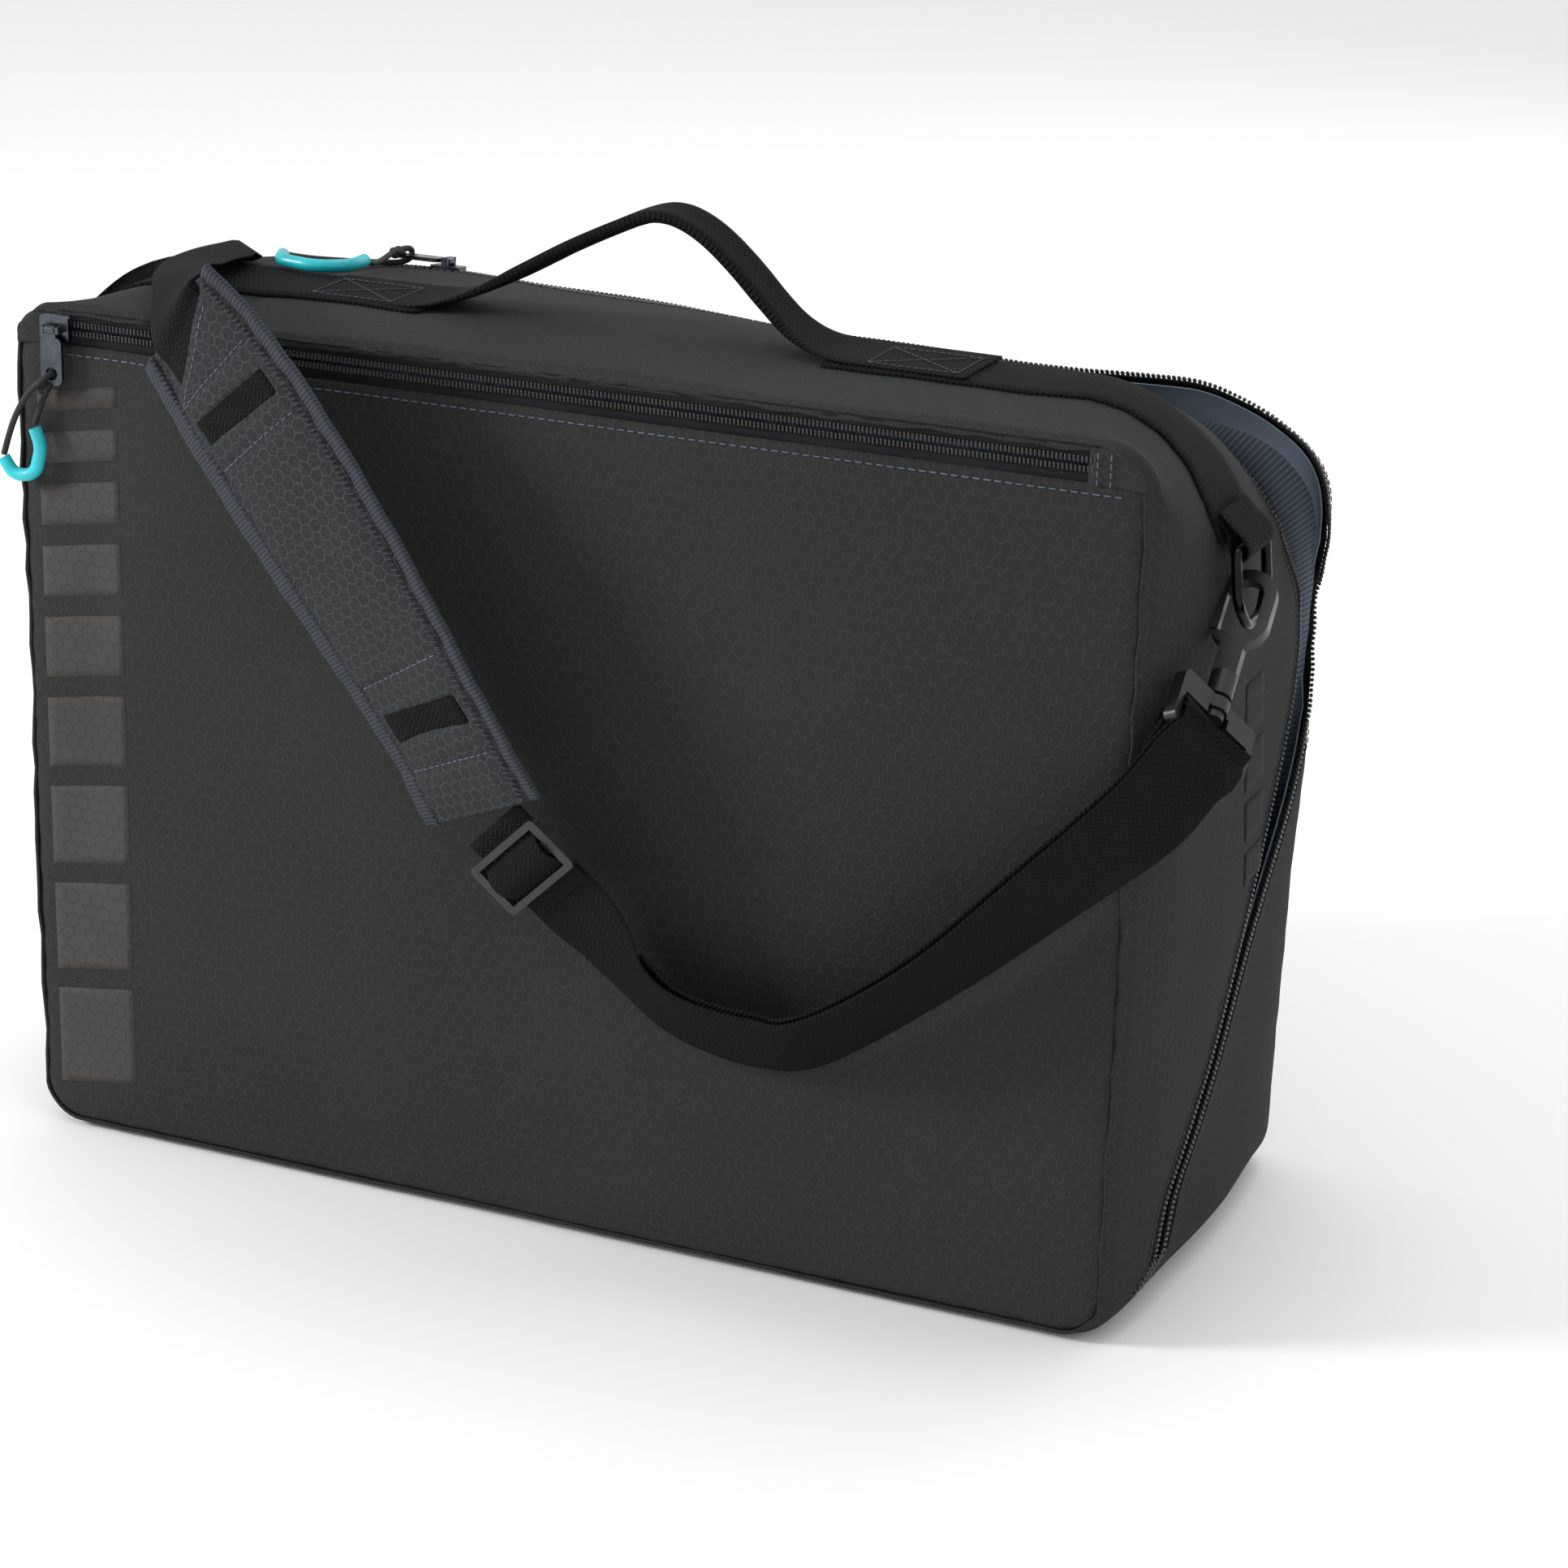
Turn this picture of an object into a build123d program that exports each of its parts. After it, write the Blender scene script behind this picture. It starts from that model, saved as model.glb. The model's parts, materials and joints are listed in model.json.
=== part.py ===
"""Ski boot bag: padded box-shaped bag with an L-shaped main zip, a front pocket, a carry handle and a
clip-on shoulder strap.

Millimetres. The origin is the centre of the flat base, +X runs to the right end, +Y to the back, +Z up.
"""

from build123d import *
import os
from math import pi, radians, tan

os.makedirs("parts", exist_ok=True)

# ---- driving dimensions -------------------------------------------------------------------------
HALF_LENGTH = 240.0  # end panel to centre
HEIGHT = 350.0
FRONT_Y = -100.0
BACK_Y = 100.0
WALL = 3.0  # padded fabric
SKIN = 2.0  # unpadded front fabric
LINING = 1.2
LINING_GAP = 0.2
CORNER_TOP_LEFT = 46.0
CORNER_TOP_RIGHT = 62.0
CORNER_BASE = 20.0
BACK_TOP_DROP = 50.0  # where the back starts to round over to the top
SLOPE_START_Y = -10.0  # the top falls gently from here to the main zip
SLOPE_END_Y = 66.0
SLOPE_DROP = 9.0
POCKET_DEPTH = 8.0
FRONT_HALF = 234.0

# main zip: the line that it follows, as (Y, Z), from the top down the right end
ZIP_LINE = [(62.0, 372.0), (64.0, 300.0), (80.0, 245.0), (-70.0, 14.0)]
ZIP_LEFT_END = -150.0  # X where the zip starts on the top
ZIP_HALF_GAP = 4.0
COIL_WIDTH = 3.0
TAPE_WIDTH = 9.0
FOLD_GAP = 0.5  # either side of the fold that the flap turns about
FOLD_HIGH = 347.0  # Z of the fold at the zip's left end
FOLD_LOW = 104.0  # Z of the fold at the right end

# pocket zip
POCKET_COIL_Z = 341.5
POCKET_COIL_HALF = 4.2
POCKET_MOUTH_LOW = 332.5
POCKET_SLIDER_X = -213.0

# webbing and hardware
BAND_Y = -25.5
BAND_WIDTH = 45.0
BAND_THICK = 2.0
STRAP_WIDTH = 38.0
STRAP_THICK = 1.8
PAD_WIDTH = 55.0
PAD_THICK = 8.0
BINDING_WIDTH = 4.5
RING_WIRE_R = 2.0
RING_WIDTH = 40.0
RING_DEPTH = 30.0
CORD_D = 2.5
GRIP_D = 5.2
CLEAR = 0.4

# Rings and their loops.
RING_LOOP_Z = {"right": 300.0, "left": 205.0}
BAND_GAP = 0.3
BAND_START = 84.0  # X where the band comes out from under the handle
LOOP_OUT = 10.0  # ring bar's distance outside the end panel
HANDLE_HALF_WIDTH = 11.0

# Swivel hooks and the frames the strap passes through.
HOOK_AT = {"right": (-13.0, 24.5), "left": (0.0, 30.0)}
WIRE_ALONG = {"right": Vector(0, 0.67, -0.74), "left": Vector(0, 1, 0)}
HOOK_AXIS = {"right": Vector(0.035, -0.780, -0.625), "left": Vector(-0.05, 0.05, 0.9975)}
FRAME_ACROSS = {"right": Vector(-0.45, -0.52, 0.72), "left": Vector(0, 1, 0)}
HOOK_THICK = 5.0
EYE_R = 6.5
EYE_TOP = -8.0  # centres of the eye's two round ends, from the ring's wire
EYE_LOW = 4.0
HOOK_OUTER_R = 11.0
STEM_END = 27.0
BARREL_R = 5.0
BARREL_LENGTH = 10.0
PIN_R = 2.0
FRAME_NEAR = 38.5  # distance from the ring's wire to the frame's near face
FRAME_BAR = 5.0
FRAME_FAR = 60.0
FRAME_HALF = 22.0
GATE_LOW = EYE_TOP - 1.5
GATE_HIGH = EYE_LOW + 4.0
GLIDE_AT = 0.42  # part of the way along the first run of webbing below the pad

# Zip pulls.
TAB_WIDTH = 9.5
TAB_LENGTH = 24.0
TAB_THICK = 1.6
BAR_R = 0.9  # slider's bar that the tab's eye turns on
BAR_HIGH = 4.5  # above the slider's underside
EYE_HALF_WIDTH = 2.2
CORD_HOLE_AT = 17.5  # from the eye to the hole for the cord
MAIN_SLIDER_X = -128.0
MAIN_SLIDER_Y = 62.0


def save(shape, node):
    """Write one node's solid or group of solids."""
    export_step(shape, f"parts/{node}.step")
    return shape


def slab_y(points, y0, y1, radii=None):
    """A plate: an XZ outline, drawn from y0 to y1."""
    outline = [(x, y0, z) for x, z in points]
    if radii:
        edge = FilletPolyline(*outline, radius=radii, close=True)
    else:
        edge = Polyline(*outline, close=True)
    return extrude(make_face(edge), amount=y1 - y0, dir=(0, 1, 0))


def slab_x(points, x0, x1, radii=None):
    """A plate: a YZ outline, drawn from x0 to x1."""
    outline = [(x0, y, z) for y, z in points]
    if radii:
        edge = FilletPolyline(*outline, radius=radii, close=True)
    else:
        edge = Polyline(*outline, close=True)
    return extrude(make_face(edge), amount=x1 - x0, dir=(1, 0, 0))


def block(x0, x1, y0, y1, z0, z1):
    """A box from its limits."""
    return Pos((x0 + x1) / 2, (y0 + y1) / 2, (z0 + z1) / 2) * Box(x1 - x0, y1 - y0, z1 - z0)


# ---- bag shell ----------------------------------------------------------------------------------
def outline(inset):
    """The bag's front view, inset all round, with its corner radii."""
    left, right = inset - HALF_LENGTH, HALF_LENGTH - inset
    points = [(left, inset), (right, inset), (right, HEIGHT - inset), (left, HEIGHT - inset)]
    radii = [r - inset for r in (CORNER_BASE, CORNER_BASE, CORNER_TOP_RIGHT, CORNER_TOP_LEFT)]
    return points, radii


def envelope(inset, y0=FRONT_Y):
    """The solid that the shell encloses, inset from the outside, open ended at y0."""
    points, radii = outline(inset)
    box = slab_y(points, y0, BACK_Y - inset, radii)
    reach = HALF_LENGTH + 10
    top = HEIGHT - inset
    side = [
        (y0 - 1, -10),
        (BACK_Y - inset, -10),
        (BACK_Y - inset, top - BACK_TOP_DROP),
        (SLOPE_END_Y, top - SLOPE_DROP),
        (SLOPE_START_Y, top),
        (y0 - 1, top),
    ]
    return box & slab_x(side, -reach, reach, [0, 0, 28 - inset, 24 - inset, 60, 0])


def flap_zone(grow, fold=FOLD_GAP):
    """Everything behind the zip line and above the fold. grow moves its zip edge forward."""
    zip_edge = [(y - grow, z) for y, z in ZIP_LINE]
    side = zip_edge + [(BACK_Y + 10, ZIP_LINE[-1][1]), (BACK_Y + 10, ZIP_LINE[0][1])]
    reach = HALF_LENGTH + 10
    slope = (FOLD_HIGH - FOLD_LOW) / (HALF_LENGTH - ZIP_LEFT_END)
    left = ZIP_LEFT_END - fold * 2
    front = [
        (left, FOLD_HIGH - fold),
        (HALF_LENGTH, FOLD_LOW - fold),
        (reach, FOLD_LOW - fold - slope * 10),
        (reach, HEIGHT + 10),
        (left, HEIGHT + 10),
    ]
    return slab_x(side, -reach, reach) & slab_y(front, FRONT_Y - 5, BACK_Y + 5)


def lower_slit(half_width):
    """The zip's slit below the fold, on the right end, closing towards its lower end."""
    (y_high, z_high), (y_low, z_low) = ZIP_LINE[2], ZIP_LINE[3]
    part_way = (FOLD_LOW + 2 - z_low) / (z_high - z_low)
    y_fold = y_low + (y_high - y_low) * part_way
    wedge = [(y_low, z_low), (y_fold + half_width, FOLD_LOW + 2), (y_fold - half_width, FOLD_LOW + 2)]
    return slab_x(wedge, HALF_LENGTH - 12, HALF_LENGTH + 5)


def shell_parts():
    """Top, ends, base and back of the bag, and the flap's two panels."""
    panel_edge = ZIP_HALF_GAP + COIL_WIDTH + TAPE_WIDTH
    shell = envelope(0, FRONT_Y + SKIN) - envelope(WALL, FRONT_Y)
    fixed = shell - flap_zone(panel_edge) - lower_slit(ZIP_HALF_GAP + COIL_WIDTH)
    moving = shell & flap_zone(-panel_edge, -FOLD_GAP)

    back_from = 82.0
    rear = block(-300, 300, back_from, BACK_Y + 5, -10, HEIGHT + 10)
    save(fixed & rear, "back_panel")
    ring = fixed - rear
    save(ring & block(-300, 300, FRONT_Y, BACK_Y, -10, CORNER_BASE), "base_panel")
    walls = ring & block(-300, 300, FRONT_Y, BACK_Y, CORNER_BASE, HEIGHT + 10)
    left_limit = -HALF_LENGTH + CORNER_TOP_LEFT
    right_limit = HALF_LENGTH - CORNER_TOP_RIGHT
    save(walls & block(-300, left_limit, FRONT_Y, BACK_Y, 0, HEIGHT + 10), "left_end_panel")
    save(walls & block(left_limit, right_limit, FRONT_Y, BACK_Y, 100, HEIGHT + 10), "top_panel")
    right_end = walls & block(right_limit, 300, FRONT_Y, BACK_Y, 0, HEIGHT + 10)
    pieces = sorted(right_end.solids(), key=lambda s: s.center().Y)
    save(pieces[0], "right_end_panel")
    save(pieces[-1], "right_end_gusset")
    corner = block(HALF_LENGTH - WALL, 300, FRONT_Y, back_from, 0, ZIP_LINE[2][1])
    save(moving - corner, "flap_back_panel")
    save(moving & corner, "flap_gusset")


def zip_parts():
    """Tape and coil on both sides of the main zip, let into the shell's thickness."""
    skin = envelope(0.6, FRONT_Y + SKIN) - envelope(1.8, FRONT_Y)
    coil_skin = envelope(0.2, FRONT_Y + SKIN) - envelope(WALL - 0.2, FRONT_Y)
    edge = ZIP_HALF_GAP
    inner = edge + COIL_WIDTH
    outer = inner + TAPE_WIDTH
    save(coil_skin & (flap_zone(inner) - flap_zone(edge)), "main_coil_front")
    save(skin & (flap_zone(outer) - flap_zone(inner)), "main_tape_front")
    fold = -FOLD_GAP
    save(coil_skin & (flap_zone(-edge, fold) - flap_zone(-inner, fold)), "main_coil_flap")
    save(skin & (flap_zone(-inner, fold) - flap_zone(-outer, fold)), "main_tape_flap")


def lining_parts():
    """Lining, binding tapes over the inside seams, and the base stiffener."""
    first = WALL + LINING_GAP
    cover = envelope(first, FRONT_Y + 11) - envelope(first + LINING, FRONT_Y)
    cut = flap_zone(ZIP_HALF_GAP + COIL_WIDTH) + lower_slit(ZIP_HALF_GAP + COIL_WIDTH)
    save(cover - cut, "main_lining")
    save(cover & flap_zone(-ZIP_HALF_GAP - COIL_WIDTH, -2 * FOLD_GAP), "flap_lining")

    second = first + LINING + LINING_GAP
    tube = envelope(second, FRONT_Y + 11) - envelope(second + 2.4, FRONT_Y)
    front = tube & block(-300, 300, FRONT_Y + 15, FRONT_Y + 23, -10, HEIGHT + 10)
    save(front, "front_seam_binding")
    rear = tube & block(-300, 300, 84, BACK_Y - 8, -10, HEIGHT + 10)
    save(rear - flap_zone(ZIP_HALF_GAP + TAPE_WIDTH, 3.0), "rear_seam_binding")
    save(rear & flap_zone(-ZIP_HALF_GAP, -6.0), "flap_seam_binding")

    board_low = second + 0.2
    half = HALF_LENGTH - CORNER_BASE
    save(block(-half, half, FRONT_Y + 24, 82, board_low, board_low + 2.5), "base_stiffener")


# ---- front pocket -------------------------------------------------------------------------------
def front_outline():
    """The flat front's outline, between its seams."""
    points = [(-FRONT_HALF, 0), (FRONT_HALF, 0), (FRONT_HALF, HEIGHT), (-FRONT_HALF, HEIGHT)]
    return points, [CORNER_BASE, CORNER_BASE, 15, 15]


def front_parts():
    """Outer pocket panel, its zip and end tabs, and the divider behind the pocket."""
    points, radii = front_outline()
    face = slab_y(points, FRONT_Y, FRONT_Y + SKIN, radii)
    save(face & block(-300, 300, -120, -90, 0, POCKET_MOUTH_LOW), "front_panel")

    tape = slab_y(points, FRONT_Y + 0.4, FRONT_Y + 1.6, radii)
    low, high = POCKET_COIL_Z - POCKET_COIL_HALF, POCKET_COIL_Z + POCKET_COIL_HALF
    run = FRONT_HALF - 24
    save(tape & block(-run, run, -120, -90, POCKET_MOUTH_LOW, low), "pocket_tape_lower")
    save(tape & block(-run, run, -120, -90, high, HEIGHT + 1), "pocket_tape_upper")
    save(block(-run, run, FRONT_Y - 0.2, FRONT_Y + SKIN, low, high), "pocket_coil")
    ends = face & block(-300, 300, -120, -90, POCKET_MOUTH_LOW, HEIGHT + 1)
    ends = ends - block(-run, run, -120, -90, POCKET_MOUTH_LOW, HEIGHT + 1)
    left, right = sorted(ends.solids(), key=lambda s: s.center().X)
    save(left, "pocket_zip_end_left")
    save(right, "pocket_zip_end_right")

    inside, inner_radii = outline(WALL + LINING_GAP)
    back = FRONT_Y + SKIN + POCKET_DEPTH
    save(slab_y(inside, back, back + 1.0, inner_radii), "pocket_divider")


# ---- top band, rings and handle -----------------------------------------------------------------


def band_part(side):
    """Webbing from the handle over a top corner to the ring loop on the end."""
    sign = 1 if side == "right" else -1
    low, high = BAND_Y - BAND_WIDTH / 2, BAND_Y + BAND_WIDTH / 2
    under, under_radii = outline(-BAND_GAP)
    over, over_radii = outline(-BAND_GAP - BAND_THICK)
    ring = slab_y(over, low, high, over_radii) - slab_y(under, low - 1, high + 1, under_radii)
    x0, x1 = sorted((sign * BAND_START, sign * (HALF_LENGTH + 5)))
    band = ring & block(x0, x1, low - 1, high + 1, RING_LOOP_Z[side] + 5, HEIGHT + 5)
    save(band, f"webbing_band_{side}")


def loop_part(side):
    """The folded webbing end that holds a ring's straight bar."""
    sign = 1 if side == "right" else -1
    z = RING_LOOP_Z[side]
    inside = HALF_LENGTH + 0.4
    outside = HALF_LENGTH + LOOP_OUT + 4.5
    width = RING_WIDTH - 4 * RING_WIRE_R - 2
    x0, x1 = sorted((sign * inside, sign * outside))
    body = block(x0, x1, BAND_Y - width / 2, BAND_Y + width / 2, z - 4.5, z + 4.5)
    body = fillet(body.edges().filter_by(Axis.Y), 3.5)
    hole = Pos(sign * (HALF_LENGTH + LOOP_OUT), BAND_Y, z) * Rot(90, 0, 0) * Cylinder(RING_WIRE_R + CLEAR, 80)
    save(body - hole, f"ring_loop_{side}")


def ring_plane(side):
    """Local frame of a D-ring: origin on its bar, x across, y out of the bar to the rounded end."""
    if side == "right":
        origin = (HALF_LENGTH + LOOP_OUT, BAND_Y, RING_LOOP_Z["right"])
        reach = Vector(0.10, 0, -0.995)
    else:
        origin = (-HALF_LENGTH - LOOP_OUT, BAND_Y, RING_LOOP_Z["left"])
        reach = Vector(-0.30, 0, 0.954)
    across = Vector(0, 1, 0)
    return Plane(origin=origin, x_dir=across, z_dir=across.cross(reach))


def ring_part(side):
    """A bent-wire D-ring."""
    half = RING_WIDTH / 2 - RING_WIRE_R
    shoulder = RING_DEPTH - 11
    tip = half * 0.45
    points = [(-half, 0), (half, 0), (half, shoulder), (tip, RING_DEPTH), (-tip, RING_DEPTH), (-half, shoulder)]
    path = FilletPolyline(*points, radius=[2.5, 2.5, 10, 10, 10, 10], close=True)
    section = Plane(origin=path @ 0, z_dir=path % 0) * Circle(RING_WIRE_R)
    save(ring_plane(side) * sweep(section, path=path), f"d_ring_{side}")


# Where each hook holds its ring: across the ring and out from its bar.


def ring_tip(side):
    """The point of the ring's wire that the hook holds."""
    across, out = HOOK_AT[side]
    return ring_plane(side).from_local_coords(Vector(across, out, 0))


def handle_parts():
    """Folded webbing grip, raised in a loop, and its two stitched anchors on the band."""
    over = [(-74, 355), (-30, 382), (12, 401), (44, 385), (80, 355)]
    under = [(73, 355), (41, 378), (12, 394), (-26, 376.5), (-65, 355)]
    side_view = slab_y(over + under, BAND_Y - 15, BAND_Y + 15, [0, 30, 18, 30, 0, 0, 26, 12, 26, 0])
    half, neck = HANDLE_HALF_WIDTH, 3.0
    low, full, top = 350, 368, 405
    end_view = [(-neck, low), (neck, low), (half, full), (half, top), (-half, top), (-half, full)]
    width = slab_x([(BAND_Y + y, z) for y, z in end_view], -90, 90)
    save(side_view & width, "carry_handle")
    anchors = []
    for x0, x1 in ((-136, -78), (84, 142)):
        patch = block(x0, x1, BAND_Y - half, BAND_Y + half - 1, HEIGHT + 2.5, HEIGHT + 4)
        anchors.append(fillet(patch.edges().filter_by(Axis.Z), 2.0))
    save(Compound(anchors), "handle_anchors")


# ---- snap hooks ---------------------------------------------------------------------------------


def axis_plane(side, toward):
    """Local frame at the ring's wire: z along the hook's axis, y nearest to the given direction."""
    z = HOOK_AXIS[side].normalized()
    y = (toward - z * toward.dot(z)).normalized()
    return Plane(origin=ring_tip(side), x_dir=y.cross(z), z_dir=z)


def hook_plane(side):
    """As axis_plane, with y along the wire that the hook holds."""
    return axis_plane(side, WIRE_ALONG[side])


def frame_plane(side):
    """As hook_plane, with x across the webbing."""
    z = HOOK_AXIS[side].normalized()
    across = FRAME_ACROSS[side]
    x = (across - z * across.dot(z)).normalized()
    return Plane(origin=ring_tip(side), x_dir=x, z_dir=z)


def stadium(radius, thick):
    """A flat plate with round ends, in the XZ plane, thick along Y."""
    plate = block(-radius, radius, -thick / 2, thick / 2, EYE_TOP, EYE_LOW)
    for z in (EYE_TOP, EYE_LOW):
        plate = plate + Pos(0, 0, z) * Rot(90, 0, 0) * Cylinder(radius, thick)
    return plate


def hook_parts(side):
    """Hook with its swivel barrel and pin, sprung gate, and the frame that the webbing goes through."""
    half = HOOK_THICK / 2
    eye = stadium(HOOK_OUTER_R, HOOK_THICK) - stadium(EYE_R, HOOK_THICK + 2)
    mouth = block(EYE_R - 2.5, HOOK_OUTER_R + 1, -4, 4, GATE_LOW - 0.4, GATE_HIGH + 1.0)
    stem = block(-4.5, 4.5, -half, half, EYE_LOW + EYE_R + 1.5, STEM_END + 1)
    barrel = Pos(0, 0, STEM_END + BARREL_LENGTH / 2) * Cylinder(BARREL_R, BARREL_LENGTH)
    pin_start = STEM_END + BARREL_LENGTH - 1
    pin_end = FRAME_NEAR + FRAME_BAR + 2
    pin = Pos(0, 0, (pin_start + pin_end) / 2) * Cylinder(PIN_R, pin_end - pin_start)
    head = Pos(0, 0, pin_end) * Cylinder(4.0, 2.6)
    hook = (eye - mouth) + stem + barrel + pin + head
    plane = hook_plane(side)
    save(plane * hook, f"hook_body_{side}")

    gate = block(EYE_R + 0.7, HOOK_OUTER_R - 0.6, -1.9, 1.9, GATE_LOW, GATE_HIGH)
    gate = fillet(gate.edges().filter_by(Axis.Y), 1.0)
    save(plane * gate, f"hook_gate_{side}")

    near_top = FRAME_NEAR + FRAME_BAR
    outer = block(-FRAME_HALF, FRAME_HALF, -2.6, 2.6, FRAME_NEAR, FRAME_FAR)
    outer = fillet(outer.edges().filter_by(Axis.Y), 3.0)
    slot = block(-FRAME_HALF + 3, FRAME_HALF - 3, -4, 4, near_top + 3.8, FRAME_FAR - 4)
    well = block(-6, 6, -4, 4, near_top, near_top + 4)
    boss = Pos(0, 0, FRAME_NEAR + FRAME_BAR / 2) * Cylinder(5.0, FRAME_BAR)
    bore = Pos(0, 0, FRAME_NEAR + FRAME_BAR / 2) * Cylinder(PIN_R + 0.05, FRAME_BAR * 2)
    save(frame_plane(side) * (outer + boss - slot - well - bore), f"hook_frame_{side}")


# ---- shoulder strap -----------------------------------------------------------------------------
# Stations down the strap: its centre, and the direction across it towards its upper edge.
LEFT_RUN = [
    ((-262.3, -22.3, 297.2), (0, -1, 0)),
    ((-258.8, -22, 311), (0, -1, 0)),
    ((-250, -10, 328), (0, -1, 0)),
    ((-235, 6, 344.5), (0, -1, 0)),
    ((-214, 15.5, 351), (0, -1, 0.06)),
    ((-184, 17, 350.6), (0, -1, 0.11)),
]
# The webbing folds over itself on the slant and goes on towards the front.
OVER_RUN = [
    ((-195, 2, 355.8), (1, 0, 0.02)),
    ((-191, -22, 358.5), (0.95, -0.25, 0.14)),
    ((-180, -55, 362), (0.88, -0.40, 0.24)),
    ((-165, -86, 366), (0.87, -0.33, 0.36)),
    ((-152, -110, 367), (0.82, -0.28, 0.50)),
    ((-143.5, -124.5, 363.5), (0.79, -0.22, 0.55)),
]
PAD_RUN = [
    ((-140, -130, 360), (0.79, -0.33, 0.51)),
    ((-109, -137, 331), (0.86, -0.18, 0.47)),
    ((-66, -143, 280), (0.87, -0.19, 0.44)),
    ((-23, -142, 218), (0.70, -0.33, 0.64)),
    ((-7, -138, 188), (0.78, -0.30, 0.52)),
]
RIGHT_RUN = [
    ((-3.4, -137.3, 183.2), (0.76, -0.28, 0.56)),
    ((29, -131, 152), (0.62, -0.30, 0.72)),
    ((45, -124, 128), (0.45, -0.62, 0.64)),
    ((66, -121, 112), (0.30, -0.63, 0.71)),
    ((97, -120, 107), (0.25, -0.60, 0.75)),
    ((124, -121, 114), (0.20, -0.65, 0.71)),
    ((170, -124, 148), (-0.10, -0.78, 0.61)),
    ((212, -121, 188), (-0.35, -0.70, 0.62)),
    ((243.5, -111, 217), (-0.45, -0.55, 0.70)),
    ((254.6, -88.2, 235.6), (-0.45, -0.52, 0.72)),
]


def frames_along(stations):
    """Centre, across and outward directions at each station."""
    centres = [Vector(*c) for c, _ in stations]
    result = []
    for i, (_, across) in enumerate(stations):
        before, after = centres[max(i - 1, 0)], centres[min(i + 1, len(centres) - 1)]
        along = (after - before).normalized()
        x = Vector(*across)
        x = (x - along * x.dot(along)).normalized()
        result.append((centres[i], x, along.cross(x).normalized()))
    return result


def ribbon(stations, width, thick, lift=0.0, shift=0.0):
    """A flat band through the stations, moved outward by lift and sideways by shift."""
    sections = []
    for centre, across, out in frames_along(stations):
        middle = centre + out * lift + across * shift
        corners = [
            middle + across * (width / 2) + out * (thick / 2),
            middle - across * (width / 2) + out * (thick / 2),
            middle - across * (width / 2) - out * (thick / 2),
            middle + across * (width / 2) - out * (thick / 2),
        ]
        sections.append(Wire(Polyline(*corners, close=True).edges()))
    return Solid.make_loft(sections, ruled=True)


def strap_parts():
    """Webbing either side of the pad, the pad with its edge bindings, and the webbing's second layer."""
    legs = [ribbon(run, STRAP_WIDTH, STRAP_THICK) for run in (LEFT_RUN, OVER_RUN)]
    save(Compound(legs), "strap_webbing_left")
    save(ribbon(RIGHT_RUN, STRAP_WIDTH, STRAP_THICK), "strap_webbing_right")
    save(ribbon(RIGHT_RUN[2:-1], STRAP_WIDTH, STRAP_THICK, lift=-2.6), "strap_webbing_return")
    save(ribbon(PAD_RUN, PAD_WIDTH, PAD_THICK), "shoulder_pad")
    under = -PAD_THICK / 2 - STRAP_THICK / 2 - 0.3
    save(ribbon(PAD_RUN, STRAP_WIDTH, STRAP_THICK, lift=under), "strap_webbing_under_pad")
    beside = PAD_WIDTH / 2 + BINDING_WIDTH / 2 + 0.2
    edges = [ribbon(PAD_RUN, BINDING_WIDTH, PAD_THICK - 2, shift=s) for s in (-beside, beside)]
    save(Compound(edges), "pad_edge_binding")


def glide_plane():
    """Local frame of the tri-glide: x across the webbing, y up the webbing, z outward."""
    centre, across, _ = frames_along(RIGHT_RUN)[0]
    nxt = Vector(*RIGHT_RUN[1][0])
    along = (nxt - centre).normalized()
    x = (across - along * across.dot(along)).normalized()
    return Plane(origin=centre + (nxt - centre) * GLIDE_AT, x_dir=x, z_dir=x.cross(along * -1))


def glide_part():
    """Three-bar slider that sets the strap's length, lying on the webbing."""
    plate = block(-24, 24, -12, 12, 2.6, 5.4)
    plate = fillet(plate.edges().filter_by(Axis.Z), 2.5)
    for y in (-6, 6):
        plate = plate - block(-19.5, 19.5, y - 3.2, y + 3.2, 0, 8)
    save(glide_plane() * plate, "tri_glide")


# ---- zip sliders and pulls ----------------------------------------------------------------------


def slider_solid():
    """A slider along X, lying in the XY plane on z = 0."""
    body = block(-6.5, 6.5, -5.2, 5.2, 0, 2.6)
    return fillet(body.edges().filter_by(Axis.Z), 2.0)


def bridge_solid():
    """Two posts with a bar between them along Y, for the tab's eye."""
    post_in, post_out = EYE_HALF_WIDTH + 0.4, EYE_HALF_WIDTH + 1.8
    posts = block(-1.4, 1.4, post_in, post_out, 1.5, 6.0) + block(-1.4, 1.4, -post_out, -post_in, 1.5, 6.0)
    return posts + Pos(0, 0, BAR_HIGH) * Rot(90, 0, 0) * Cylinder(BAR_R, 2 * post_in + 1)


def tab_solid():
    """A pull tab from its eye at the origin, towards -x, lying in the XY plane."""
    half = TAB_THICK / 2
    plate = block(-TAB_LENGTH + 2, -3, -TAB_WIDTH / 2, TAB_WIDTH / 2, -half, half)
    plate = fillet(plate.edges().filter_by(Axis.Z), 2.6)
    neck = block(-4.5, -0.5, -EYE_HALF_WIDTH, EYE_HALF_WIDTH, -half, half)
    eye = Rot(90, 0, 0) * Cylinder(BAR_R + 0.85, 2 * EYE_HALF_WIDTH)
    bore = Rot(90, 0, 0) * Cylinder(BAR_R + 0.06, 8)
    cord_hole = Pos(-CORD_HOLE_AT, 0, 0) * Cylinder(2.6, 6)
    return plate + neck + eye - bore - cord_hole


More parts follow.
